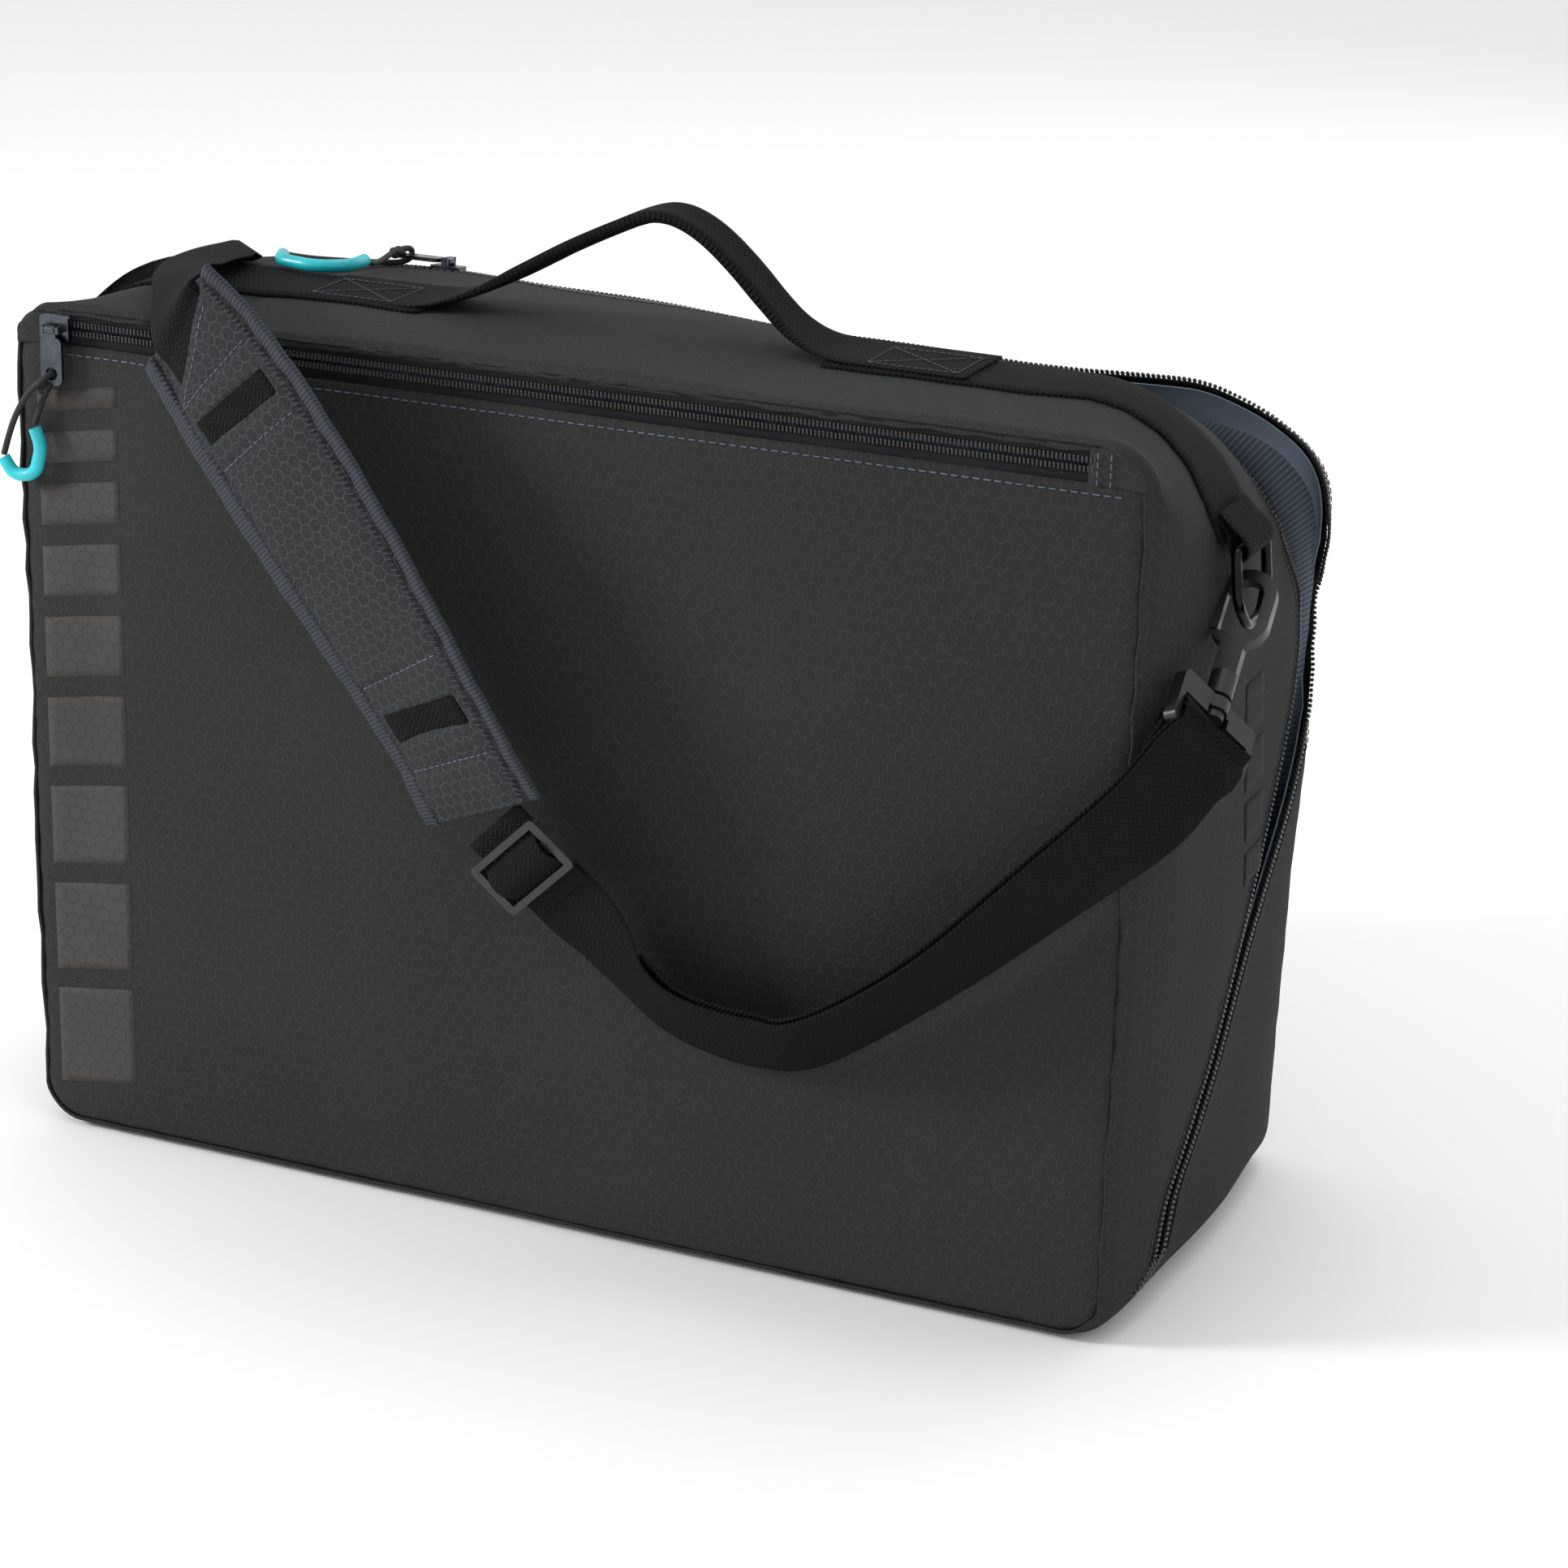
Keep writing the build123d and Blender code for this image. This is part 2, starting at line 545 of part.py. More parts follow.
POCKET_TAB_AT = (POCKET_SLIDER_X, FRONT_Y - 0.6 - BAR_HIGH, POCKET_COIL_Z)
SLOPE = SLOPE_DROP / (SLOPE_END_Y - SLOPE_START_Y)
MAIN_SLIDER_Z = HEIGHT - SLOPE * (MAIN_SLIDER_Y - SLOPE_START_Y) + 0.5
SLOPE_NORMAL = Vector(0, SLOPE, 1).normalized()
MAIN_TAB_AT = Vector(MAIN_SLIDER_X, MAIN_SLIDER_Y, MAIN_SLIDER_Z) + SLOPE_NORMAL * BAR_HIGH


def slider_parts():
    """Both sliders with their pull tabs."""
    on_front = Plane(origin=(POCKET_SLIDER_X, FRONT_Y - 0.6, POCKET_COIL_Z), x_dir=(1, 0, 0), z_dir=(0, -1, 0))
    save(on_front * (slider_solid() + Rot(0, 0, 90) * bridge_solid()), "pocket_slider")
    hanging = Plane(origin=POCKET_TAB_AT, x_dir=(0, 0, 1), z_dir=(0, -1, 0))
    save(hanging * tab_solid(), "pocket_pull_tab")
    on_top = Plane(origin=(MAIN_SLIDER_X, MAIN_SLIDER_Y, MAIN_SLIDER_Z), x_dir=(1, 0, 0), z_dir=SLOPE_NORMAL)
    save(on_top * (slider_solid() + bridge_solid()), "main_slider")
    lying = Plane(origin=MAIN_TAB_AT, x_dir=(1, 0, 0), z_dir=SLOPE_NORMAL)
    save(lying * tab_solid(), "main_pull_tab")


# Cord routes, from one end of the grip, through the tab's hole and back to the grip's other end.
POCKET_CORD = [
    (-236.5, -105.8, 289),
    (-233.5, -106.0, 298),
    (-229.0, -107.0, 307),
    (-222.5, -108.4, 316),
    (-214.0, -109.4, 323.2),
    (-212.3, -102.4, 325.2),
    (-216.5, -102.7, 318),
    (-219.5, -104.2, 311),
    (-221.5, -106.0, 303),
]
MAIN_CORD = [
    (-172, 3, 355.6),
    (-171, 17, 351.6),
    (-165, 31, 348.6),
    (-156, 45, 346.2),
    (-145.6, 60.9, 343.9),
    (-145.4, 64.3, 350.2),
    (-148, 53, 350.4),
    (-147, 39, 348.6),
    (-143, 24, 350.6),
    (-138, 10, 355.6),
]
POCKET_GRIP = [
    (-236.8, -105.8, 287.6),
    (-232.5, -105.4, 281),
    (-222.5, -105.4, 282),
    (-219, -105.8, 294),
    (-221.5, -106, 301.4),
]
MAIN_GRIP = [(-172, 2.4, 355.6), (-168, -6.5, 355.6), (-150, -10.5, 355.6), (-138, -3, 355.6), (-138, 9.4, 355.6)]


def tube(route, diameter, label):
    """A round tube along straight runs joined by arcs as large as the runs allow."""
    points = [Vector(*p) for p in route]
    radii = []
    for a, b, c in zip(points, points[1:], points[2:]):
        run_in, run_out = b - a, c - b
        half_turn = radians(run_in.get_angle(run_out)) / 2
        radii.append(0.45 * min(run_in.length, run_out.length) / tan(half_turn))
    path = FilletPolyline(*points, radius=radii)
    section = Plane(origin=path @ 0, z_dir=path % 0) * Circle(diameter / 2)
    solid = sweep(section, path=path)
    expected = pi * (diameter / 2) ** 2 * path.length
    print(label, "length", round(path.length, 1), "radii", [round(r, 1) for r in radii])
    print(label, "volume ratio", round(solid.volume / expected, 4))
    return solid


def pull_parts():
    """Cord loops and the curved grips that their ends are moulded into."""
    save(tube(POCKET_CORD, CORD_D, "pocket_pull_cord"), "pocket_pull_cord")
    save(tube(POCKET_GRIP, GRIP_D, "pocket_pull_grip"), "pocket_pull_grip")
    save(tube(MAIN_CORD, CORD_D, "main_pull_cord"), "main_pull_cord")
    save(tube(MAIN_GRIP, GRIP_D, "main_pull_grip"), "main_pull_grip")


shell_parts()
zip_parts()
lining_parts()
front_parts()
handle_parts()
for end in ("left", "right"):
    band_part(end)
    loop_part(end)
    ring_part(end)
    hook_parts(end)
strap_parts()
glide_part()
slider_parts()
pull_parts()
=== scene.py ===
"""Looks of the ski boot bag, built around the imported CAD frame.

The shape functions work in millimetres, and new_mesh scales them by MM. The camera, the lights, the pull
cords and the flap's fold are in metres.
"""

import json
import math

import bpy
import numpy as np
from mathutils import Matrix, Vector


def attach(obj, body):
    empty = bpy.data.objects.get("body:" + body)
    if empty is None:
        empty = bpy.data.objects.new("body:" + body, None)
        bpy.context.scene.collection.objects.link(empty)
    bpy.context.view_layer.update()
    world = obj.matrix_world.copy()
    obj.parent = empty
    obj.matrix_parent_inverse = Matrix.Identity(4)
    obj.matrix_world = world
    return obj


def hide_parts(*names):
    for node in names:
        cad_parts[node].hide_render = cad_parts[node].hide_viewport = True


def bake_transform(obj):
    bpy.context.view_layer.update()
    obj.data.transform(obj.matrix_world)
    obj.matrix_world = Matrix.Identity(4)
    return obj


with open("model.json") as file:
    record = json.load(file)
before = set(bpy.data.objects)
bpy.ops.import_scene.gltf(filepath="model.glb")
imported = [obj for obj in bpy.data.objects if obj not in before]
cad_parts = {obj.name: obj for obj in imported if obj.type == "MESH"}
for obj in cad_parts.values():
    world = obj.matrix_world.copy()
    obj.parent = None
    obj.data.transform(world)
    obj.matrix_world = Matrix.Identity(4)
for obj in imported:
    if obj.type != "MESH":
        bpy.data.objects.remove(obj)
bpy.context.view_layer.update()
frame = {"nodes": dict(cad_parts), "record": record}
nodes = frame["nodes"]

MM = 0.001


# ---- curves and meshes ----
def smooth_curve(points):
    """A function through (x, value) points, with no overshoot at flat stretches."""
    xs = np.array([p[0] for p in points], float)
    ys = np.array([p[1] for p in points], float)
    steps = np.diff(ys) / np.diff(xs)
    slopes = np.zeros(len(xs))
    inner = steps[:-1] * steps[1:] > 0
    slopes[1:-1][inner] = (2 * steps[:-1] * steps[1:])[inner] / (steps[:-1] + steps[1:])[inner]

    def value(x):
        x = np.clip(np.asarray(x, float), xs[0], xs[-1])
        i = np.clip(np.searchsorted(xs, x, side="right") - 1, 0, len(xs) - 2)
        h = xs[i + 1] - xs[i]
        t = (x - xs[i]) / h
        a = ys[i] * (1 + 2 * t) * (1 - t) ** 2 + ys[i + 1] * t * t * (3 - 2 * t)
        return a + h * (slopes[i] * t * (1 - t) ** 2 - slopes[i + 1] * t * t * (1 - t))

    return value


def spline(points, step):
    """Points every step millimetres along a smooth line through the given points."""
    p = np.array(points, float)
    ends = np.vstack([2 * p[0] - p[1], p, 2 * p[-1] - p[-2]])
    line = []
    for a, b, c, d in zip(ends, ends[1:], ends[2:], ends[3:]):
        square, cube = 2 * a - 5 * b + 4 * c - d, 3 * b - a - 3 * c + d
        for t in np.linspace(0, 1, 24, endpoint=False):
            line.append(0.5 * (2 * b + (c - a) * t + square * t**2 + cube * t**3))
    line.append(p[-1])
    return even(np.array(line), step)


def distances(line):
    """The distance along a line at each of its points."""
    return np.concatenate([[0], np.cumsum(np.linalg.norm(np.diff(line, axis=0), axis=1))])


def sample(at, run, values):
    """The rows of values, which belong to the distances run, read at the distances at."""
    return np.stack([np.interp(at, run, values[:, k]) for k in range(values.shape[1])], axis=-1)


def even(line, step):
    """The same line with its points spaced evenly, about step apart."""
    run = distances(line[:, :3])
    count = max(2, int(round(run[-1] / step)) + 1)
    return sample(np.linspace(0, run[-1], count), run, line)


def stack(*parts):
    """Points or UVs from arrays of their coordinates, which are broadcast to one shape."""
    return np.stack(np.broadcast_arrays(*parts), axis=-1)


def unit(v):
    return v / np.maximum(np.linalg.norm(v, axis=-1, keepdims=True), 1e-9)


def tangents(line):
    return unit(np.gradient(line, axis=0))


def squared(vectors, ahead):
    """Unit vectors across the directions ahead, in the planes of the given vectors."""
    return unit(vectors - ahead * np.sum(vectors * ahead, axis=1, keepdims=True))


def new_mesh(name, points, faces, material, uvs=None):
    """A smooth-shaded mesh from points in millimetres. uvs holds one (u, v) in millimetres per point."""
    mesh = bpy.data.meshes.new(name)
    mesh.from_pydata([tuple(float(c) * MM for c in p) for p in points], [], [tuple(f) for f in faces])
    if uvs is not None:
        layer = mesh.uv_layers.new(name="UVMap")
        loops = np.zeros(len(mesh.loops), np.int32)
        mesh.loops.foreach_get("vertex_index", loops)
        layer.data.foreach_set("uv", (np.array(uvs, float)[loops] * MM).astype(np.float32).ravel())
    mesh.polygons.foreach_set("use_smooth", [True] * len(mesh.polygons))
    mesh.materials.append(material)
    mesh.validate()
    obj = bpy.data.objects.new(name, mesh)
    bpy.context.scene.collection.objects.link(obj)
    return obj


def grid_faces(rows, cols, closed=False):
    faces = []
    for r in range(rows - 1):
        for c in range(cols if closed else cols - 1):
            d = (c + 1) % cols
            faces.append((r * cols + c, r * cols + d, (r + 1) * cols + d, (r + 1) * cols + c))
    return faces


def sheet_mesh(name, points, material, thick, uvs, offset=-1.0):
    """A sheet from a grid of points, thickened by a modifier."""
    rows, cols = points.shape[:2]
    obj = new_mesh(name, points.reshape(-1, 3), grid_faces(rows, cols), material, uvs.reshape(-1, 2))
    solid = obj.modifiers.new("thickness", "SOLIDIFY")
    solid.thickness = thick * MM
    solid.offset = offset
    return obj


def tube_faces(rows, cols):
    """Faces of a tube of rings, closed at both ends."""
    ends = [tuple(range(cols))[::-1], tuple((rows - 1) * cols + c for c in range(cols))]
    return grid_faces(rows, cols, closed=True) + ends


def loft(name, sections, material, uvs):
    """A closed tube through the sections, an array of rows of points round the tube."""
    faces = tube_faces(*sections.shape[:2])
    return new_mesh(name, sections.reshape(-1, 3), faces, material, uvs.reshape(-1, 2))


def joined(name, parts):
    """One object from several, which keeps their materials."""
    for part in parts:
        for modifier in list(part.modifiers):
            with bpy.context.temp_override(object=part, active_object=part, selected_objects=[part]):
                bpy.ops.object.modifier_apply(modifier=modifier.name)
    with bpy.context.temp_override(active_object=parts[0], selected_editable_objects=parts):
        bpy.ops.object.join()
    parts[0].name = name
    return parts[0]


def assign(obj, slot, *replaced, body="bag"):
    """Attaches the piece to its body's empty and hides the replaced nodes; a piece with no body is left
    unattached. The slot is not used.
    """
    if body:
        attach(obj, body)
    if replaced:
        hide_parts(*replaced)


# Length, radius and pitch of the zips' teeth and of the stitches.
POCKET_TOOTH, MAIN_TOOTH = (2.7, 0.66, 1.6), (3.2, 0.8, 2.1)
POCKET_STITCH, POCKET_END_STITCH, ZIP_STITCH = (2.9, 0.3, 4.1), (2.4, 0.28, 3.2), (2.6, 0.24, 3.4)
BOX_STITCH, PAD_STITCH, PAD_LOOP = (2.3, 0.27, 3.0), (2.6, 0.26, 3.5), (3.4, 0.42, 2.3)
BEAD_SIDES = 6
ACROSS = math.pi / 2  # the turn of a bead that lies across its line


def capsule(length, radius):
    """Points and faces of a small rounded rod along x."""
    stations = [(-0.5, 0.3), (-0.42, 0.8), (-0.3, 1.0), (0.3, 1.0), (0.42, 0.8), (0.5, 0.3)]
    turns = [2 * math.pi * k / BEAD_SIDES for k in range(BEAD_SIDES)]
    points = [
        (x * length, r * radius * math.cos(a), r * radius * math.sin(a)) for x, r in stations for a in turns
    ]
    return np.array(points), tube_faces(len(stations), BEAD_SIDES)


def beads(name, line, normals, size, material, turn=0.0):
    """A row of capsules along a line, each turned about the normal; one normal may serve the whole line."""
    length, radius, pitch = size
    run = distances(line)
    at = np.arange(pitch / 2, run[-1], pitch)
    centre = sample(at, run, line)
    up = unit(sample(at, run, np.broadcast_to(np.asarray(normals, float), line.shape)))
    ahead = squared(sample(at + 0.2, run, line) - sample(at - 0.2, run, line), up)
    side = np.cross(up, ahead)
    if turn:
        cos, sin = math.cos(turn), math.sin(turn)
        ahead, side = ahead * cos + side * sin, side * cos - ahead * sin
    shape, faces = capsule(length, radius)
    points = sum(way[:, None] * shape[None, :, k, None] for k, way in enumerate((ahead, side, up)))
    copies = [tuple(k + i * len(shape) for k in face) for i in range(len(at)) for face in faces]
    return new_mesh(name, (points + centre[:, None]).reshape(-1, 3), copies, material)


# ---- materials ----
class Nodes:
    """A short way to write a node material."""

    def __init__(self, name, roughness, metallic=0.0, **sockets):
        self.material = bpy.data.materials.new(name)
        self.material.use_nodes = True
        self.tree = self.material.node_tree
        self.shader = self.tree.nodes["Principled BSDF"]
        self.shader.inputs["Roughness"].default_value = roughness
        self.shader.inputs["Metallic"].default_value = metallic
        for key, value in sockets.items():
            self.shader.inputs[key.replace("_", " ")].default_value = value

    def put(self, socket, value):
        if isinstance(value, bpy.types.NodeSocket):
            self.tree.links.new(value, socket)
        else:
            socket.default_value = value

    def add(self, kind, inputs, **settings):
        """A node with its settings, and its inputs linked or set, by name or by number."""
        node = self.tree.nodes.new(kind)
        for key, value in settings.items():
            setattr(node, key, value)
        for key, value in inputs.items():
            self.put(node.inputs[key], value)
        return node.outputs

    def maths(self, operation, a, b=0.0, c=0.0):
        return self.add("ShaderNodeMath", {0: a, 1: b, 2: c}, operation=operation)[0]

    def times(self, a, b):
        return self.maths("MULTIPLY", a, b)

    def vector(self, operation, a, b=(0, 0, 0)):
        return self.add("ShaderNodeVectorMath", {0: a, 1: b}, operation=operation)[0]

    def dot(self, a, b):
        return self.add("ShaderNodeVectorMath", {0: a, 1: b}, operation="DOT_PRODUCT")["Value"]

    def place(self, kind="Object"):
        return self.add("ShaderNodeTexCoord", {})[kind]

    def split(self, vector):
        return self.add("ShaderNodeSeparateXYZ", {0: vector})

    def noise(self, scale, detail):
        inputs = {"Scale": scale, "Detail": detail, "Vector": self.place()}
        return self.add("ShaderNodeTexNoise", inputs)["Fac"]

    def span(self, value, low, high, to_low=0.0, to_high=1.0):
        """A smooth step from to_low to to_high while the value goes from low to high."""
        inputs = {"Value": value, "From Min": low, "From Max": high, "To Min": to_low, "To Max": to_high}
        return self.add("ShaderNodeMapRange", inputs, interpolation_type="SMOOTHSTEP")[0]

    def mix(self, factor, a, b):
        return self.add("ShaderNodeMix", {0: factor, 6: a, 7: b}, data_type="RGBA")[2]

    def rough(self, value):
        self.put(self.shader.inputs["Roughness"], value)

    def finish(self, colour, height, depth_mm, strength):
        """The material, with its colour and a bump whose height of 1 stands for depth_mm."""
        self.put(self.shader.inputs["Base Color"], colour)
        inputs = {"Distance": depth_mm * MM, "Strength": strength, "Height": height}
        self.put(self.shader.inputs["Normal"], self.add("ShaderNodeBump", inputs)[0])
        return self.material

    def wave(self, value, pitch=1.0):
        """A sine along the value, 0 to 1."""
        turns = self.times(value, 2 * math.pi / pitch)
        return self.maths("MULTIPLY_ADD", self.maths("SINE", turns), 0.5, 0.5)

    def zigzag(self, value, pitch):
        """A zigzag along the value, 0 to 0.5."""
        share = self.maths("FRACT", self.times(value, 1 / pitch))
        return self.maths("ABSOLUTE", self.maths("SUBTRACT", share, 0.5))

    def weave(self, pitch_mm):
        """Height of a plain weave: threads over and under, 0 to 1."""
        x, y, _ = self.split(self.place("UV"))
        a, b = (self.maths("SINE", self.times(v, math.pi / (pitch_mm * MM))) for v in (x, y))
        return self.maths("MULTIPLY_ADD", self.times(a, b), 0.5, 0.5)

    def hex_ridge(self, size_mm):
        """1 on the borders of hexagonal cells and 0 inside them."""
        high = math.sqrt(3)
        ratio = (1, high, 1)
        p = self.vector("MULTIPLY", self.place("UV"), (1 / (size_mm * MM),) * 3)
        cells = []
        for shift in (0.0, 0.5):  # two grids of rectangles make the hexagons' centres
            q = self.vector("DIVIDE", p, ratio)
            q = self.vector("FRACTION", self.vector("ADD", q, (shift, shift, 0)))
            q = self.vector("MULTIPLY", self.vector("SUBTRACT", q, (0.5, 0.5, 0)), ratio)
            cells.append(self.vector("MULTIPLY", q, (1, 1, 0)))
        first, second = cells
        nearer = self.maths("LESS_THAN", self.dot(first, first), self.dot(second, second))
        near = self.add("ShaderNodeMix", {0: nearer, 4: second, 5: first}, data_type="VECTOR")[1]
        near = self.vector("ABSOLUTE", near)
        slant = self.dot(near, (0.5, high / 2, 0))
        border = self.times(self.maths("MAXIMUM", self.split(near)[0], slant), 2.0)
        return self.span(border, 0.86, 0.97)


def grey(r, g, b):
    """A linear colour from sRGB numbers out of 255."""
    parts = [v / 255 for v in (r, g, b)]
    return tuple((v / 12.92 if v <= 0.04045 else ((v + 0.055) / 1.055) ** 2.4) for v in parts) + (1.0,)


def shade(colour, factor):
    """The colour made darker or lighter."""
    return tuple(min(1, c * factor) for c in colour[:3]) + (1,)


CLOTH_THREAD = 0.62  # mm between the threads of the hexagon cloth
HEX_CELL, PAD_HEX_CELL = 6.0, 5.3  # mm across a cell


def hex_fabric(name, base, line, cell_mm, line_strength):
    """Ripstop fabric with a raised hexagon grid over a fine weave."""
    n = Nodes(name, 0.85, Specular_IOR_Level=0.14)
    ridge = n.hex_ridge(cell_mm)
    weave = n.weave(CLOTH_THREAD)
    blotch, fleck = n.noise(9.0, 3.0), n.noise(900.0, 1.0)
    colour = n.mix(n.span(blotch, 0.3, 0.7), shade(base, 0.86), base)
    colour = n.mix(n.times(n.span(fleck, 0.45, 0.8), 0.4), colour, line)
    n.rough(n.span(weave, 0.0, 1.0, 0.92, 0.76))
    height = n.maths("MULTIPLY_ADD", weave, 0.35, n.times(ridge, 0.9))
    return n.finish(n.mix(n.times(ridge, 0.55 * line_strength), colour, line), height, 0.22, 0.8)


def webbing_cloth(name, base, rib=0.0022, chevron=0.0076, cord=0.00095):
    """Woven strap: chevron ribs across fine cords, with painted shade in the grooves and painted highlight on
    the ribs. The pitches are in metres.
    """
    n = Nodes(name, 0.85, Specular_IOR_Level=0.12)
    x, y, _ = n.split(n.place("UV"))
    slant = n.times(n.zigzag(x, chevron), 2.6)
    ribs = n.wave(n.maths("ADD", n.times(y, 1 / rib), slant))
    height = n.times(ribs, n.maths("MULTIPLY_ADD", n.wave(x, cord), 0.5, 0.5))
    dust = n.times(n.noise(60.0, 3.0), 0.25)
    # painted shade and highlight: the colour follows the ribs' height, darker in the grooves and lighter on
    # the tops
    colour = n.mix(height, shade(base, 0.4), shade(base, 1.25))
    return n.finish(n.mix(dust, colour, shade(base, 1.7)), height, 0.6, 1.2)


def ribbed_tape(name, base, rib=0.0016, thread=0.0006):
    """Grosgrain: ribs straight across the tape, with painted shade between the ribs. The pitches are in
    metres.
    """
    n = Nodes(name, 0.85, Specular_IOR_Level=0.14)
    x, y, _ = n.split(n.place("UV"))
    ribs = n.wave(y, rib)
    height = n.maths("MULTIPLY_ADD", n.wave(x, thread), 0.2, ribs)
    # painted shade: the colour darkens between the ribs, following their height
    return n.finish(n.mix(ribs, shade(base, 0.5), base), height, 0.25, 0.8)


def herringbone(name, base, twill=0.0011, chevron=0.0042):
    """The zips' tape, with painted shade between its twill ribs. The pitches are in metres."""
    n = Nodes(name, 0.85, Specular_IOR_Level=0.14)
    x, y, _ = n.split(n.place("UV"))
    slant = n.times(n.zigzag(y, chevron), 4.0)
    ribs = n.wave(n.maths("ADD", n.times(x, 1 / twill), slant))
    # painted shade: the colour darkens between the twill ribs, following their height
    return n.finish(n.mix(ribs, shade(base, 0.4), base), ribs, 0.18, 0.9)


def lining_cloth(name, base):
    """Thin smooth cloth with soft creases and painted shade in their hollows."""
    n = Nodes(name, 0.6, Specular_IOR_Level=0.25)
    creases = n.noise(14.0, 2.0)
    height = n.maths("MULTIPLY_ADD", creases, 2.0, n.times(n.weave(0.5), 0.2))
    # painted shade: the colour darkens in the creases' hollows, following their height
    return n.finish(n.mix(n.span(creases, 0.3, 0.7), shade(base, 0.8), base), height, 0.5, 0.5)


def plastic(name, base, roughness, grain_mm, coat=0.0):
    n = Nodes(name, roughness, Specular_IOR_Level=0.5, Coat_Weight=coat)
    wear = n.noise(45.0, 4.0)
    n.rough(n.span(wear, 0.3, 0.7, roughness - 0.08, roughness + 0.1))
    colour = n.mix(n.span(wear, 0.35, 0.75), base, shade(base, 1.5))
    return n.finish(colour, n.noise(700.0, 2.0), grain_mm, 0.6)


def metal(name, base, roughness):
    n = Nodes(name, roughness, metallic=1.0)
    brush, wear = n.noise(300.0, 3.0), n.noise(60.0, 3.0)
    n.rough(n.span(brush, 0.3, 0.7, roughness - 0.08, roughness + 0.12))
    return n.finish(n.mix(n.span(wear, 0.35, 0.7), base, shade(base, 0.7)), brush, 0.02, 0.5)


def braid(name, base, pitch=0.0011):
    """Braided cord, with painted shade between the strands. The pitch is in metres."""
    n = Nodes(name, 0.7)
    x, y, z = n.split(n.place())
    strands = n.wave(n.maths("ADD", n.maths("ADD", x, y), z), pitch)
    # painted shade: the colour darkens between the strands, following their height
    return n.finish(n.mix(strands, shade(base, 0.5), base), strands, 0.12, 0.8)


def print_ink(name, base):
    """Printed ink: the hexagon grid shows through as fine dark lines."""
    n = Nodes(name, 0.7, Specular_IOR_Level=0.16)
    ridge = n.hex_ridge(HEX_CELL)
    colour = n.mix(n.span(n.noise(25.0, 4.0), 0.3, 0.75), base, shade(base, 0.88))
    height = n.maths("MULTIPLY_ADD", n.weave(CLOTH_THREAD), 0.3, ridge)
    return n.finish(n.mix(n.times(ridge, 0.5), colour, shade(base, 0.6)), height, 0.16, 0.7)


SHELL = hex_fabric("shell_hex_fabric", grey(42, 43, 43), grey(58, 59, 59), HEX_CELL, 0.9)
FRONT = hex_fabric("front_hex_fabric", grey(43, 44, 43), grey(60, 61, 60), HEX_CELL, 0.75)
PAD = hex_fabric("pad_hex_fabric", grey(42, 44, 45), grey(74, 77, 79), PAD_HEX_CELL, 1.1)
WEB = webbing_cloth("black_webbing", grey(23, 23, 24))
TRIM = ribbed_tape("grey_binding", grey(64, 68, 74))
SEAM_TAPE = ribbed_tape("lining_seam_tape", grey(104, 114, 126), rib=0.0024)
TAPE = herringbone("zip_tape_cloth", grey(36, 37, 39))
COIL = plastic("zip_coil_plastic", grey(26, 26, 28), 0.28, 0.02)
LINING = lining_cloth("blue_grey_lining", grey(128, 141, 158))
PLASTIC = plastic("black_moulded_plastic", grey(24, 24, 26), 0.36, 0.05)
GUNMETAL = metal("gun_metal", grey(78, 82, 88), 0.28)
DARK_METAL = metal("dark_painted_steel", grey(40, 40, 42), 0.28)
CORD = braid("black_braided_cord", grey(24, 24, 26))
RUBBER = plastic("cyan_rubber", grey(20, 168, 178), 0.42, 0.04, coat=0.15)
INK = print_ink("warm_grey_ink", grey(67, 65, 63))
GLOSS_INK = print_ink("dark_gloss_ink", grey(26, 26, 27))
THREAD = plastic("blue_grey_thread", grey(78, 86, 100), 0.7, 0.02)
DARK_THREAD = plastic("charcoal_thread", grey(52, 55, 62), 0.7, 0.02)


# ---- camera ----
AZIMUTH, PITCH, ROLL = math.radians(22.93), math.radians(19.58), math.radians(1.57)
LENS_MM, SENSOR_MM = 91.82, 36.0
CAMERA_AT = Vector((0.64445, -1.39027, 0.70258))


def make_camera():
    flat = math.cos(PITCH)
    ahead = Vector((-math.sin(AZIMUTH) * flat, math.cos(AZIMUTH) * flat, -math.sin(PITCH)))
    level = Vector((math.cos(AZIMUTH), math.sin(AZIMUTH), 0))
    up = level.cross(ahead)
    right = level * math.cos(ROLL) + up * math.sin(ROLL)
    top = up * math.cos(ROLL) - level * math.sin(ROLL)
    data = bpy.data.cameras.new("camera")
    data.lens = LENS_MM
    data.sensor_width = SENSOR_MM
    data.clip_start = 0.05
    camera = bpy.data.objects.new("camera", data)
    turn = Matrix((right, top, -ahead)).transposed().to_4x4()
    camera.matrix_world = Matrix.Translation(CAMERA_AT) @ turn
    bpy.context.scene.collection.objects.link(camera)
    bpy.context.scene.camera = camera


make_camera()


# ---- pull cords ----
POCKET_CORD = [
    (-0.2365, -0.1058, 0.289), (-0.2335, -0.106, 0.298), (-0.229, -0.107, 0.307), (-0.2225, -0.1084, 0.316),
    (-0.214, -0.1094, 0.3232), (-0.2123, -0.1024, 0.3252), (-0.2165, -0.1027, 0.318),
    (-0.2195, -0.1042, 0.311), (-0.2215, -0.106, 0.303),
]
MAIN_CORD = [
    (-0.172, 0.003, 0.3556), (-0.171, 0.017, 0.3516), (-0.165, 0.031, 0.3486), (-0.156, 0.045, 0.3462),
    (-0.1456, 0.0609, 0.3439), (-0.1454, 0.0643, 0.3502), (-0.148, 0.053, 0.3504),
    (-0.147, 0.039, 0.3486), (-0.143, 0.024, 0.3506), (-0.138, 0.010, 0.3556),
]
CORD_DIAMETER = 0.0025
POCKET_CORD_LENGTH, MAIN_CORD_LENGTH = 0.0706, 0.1266


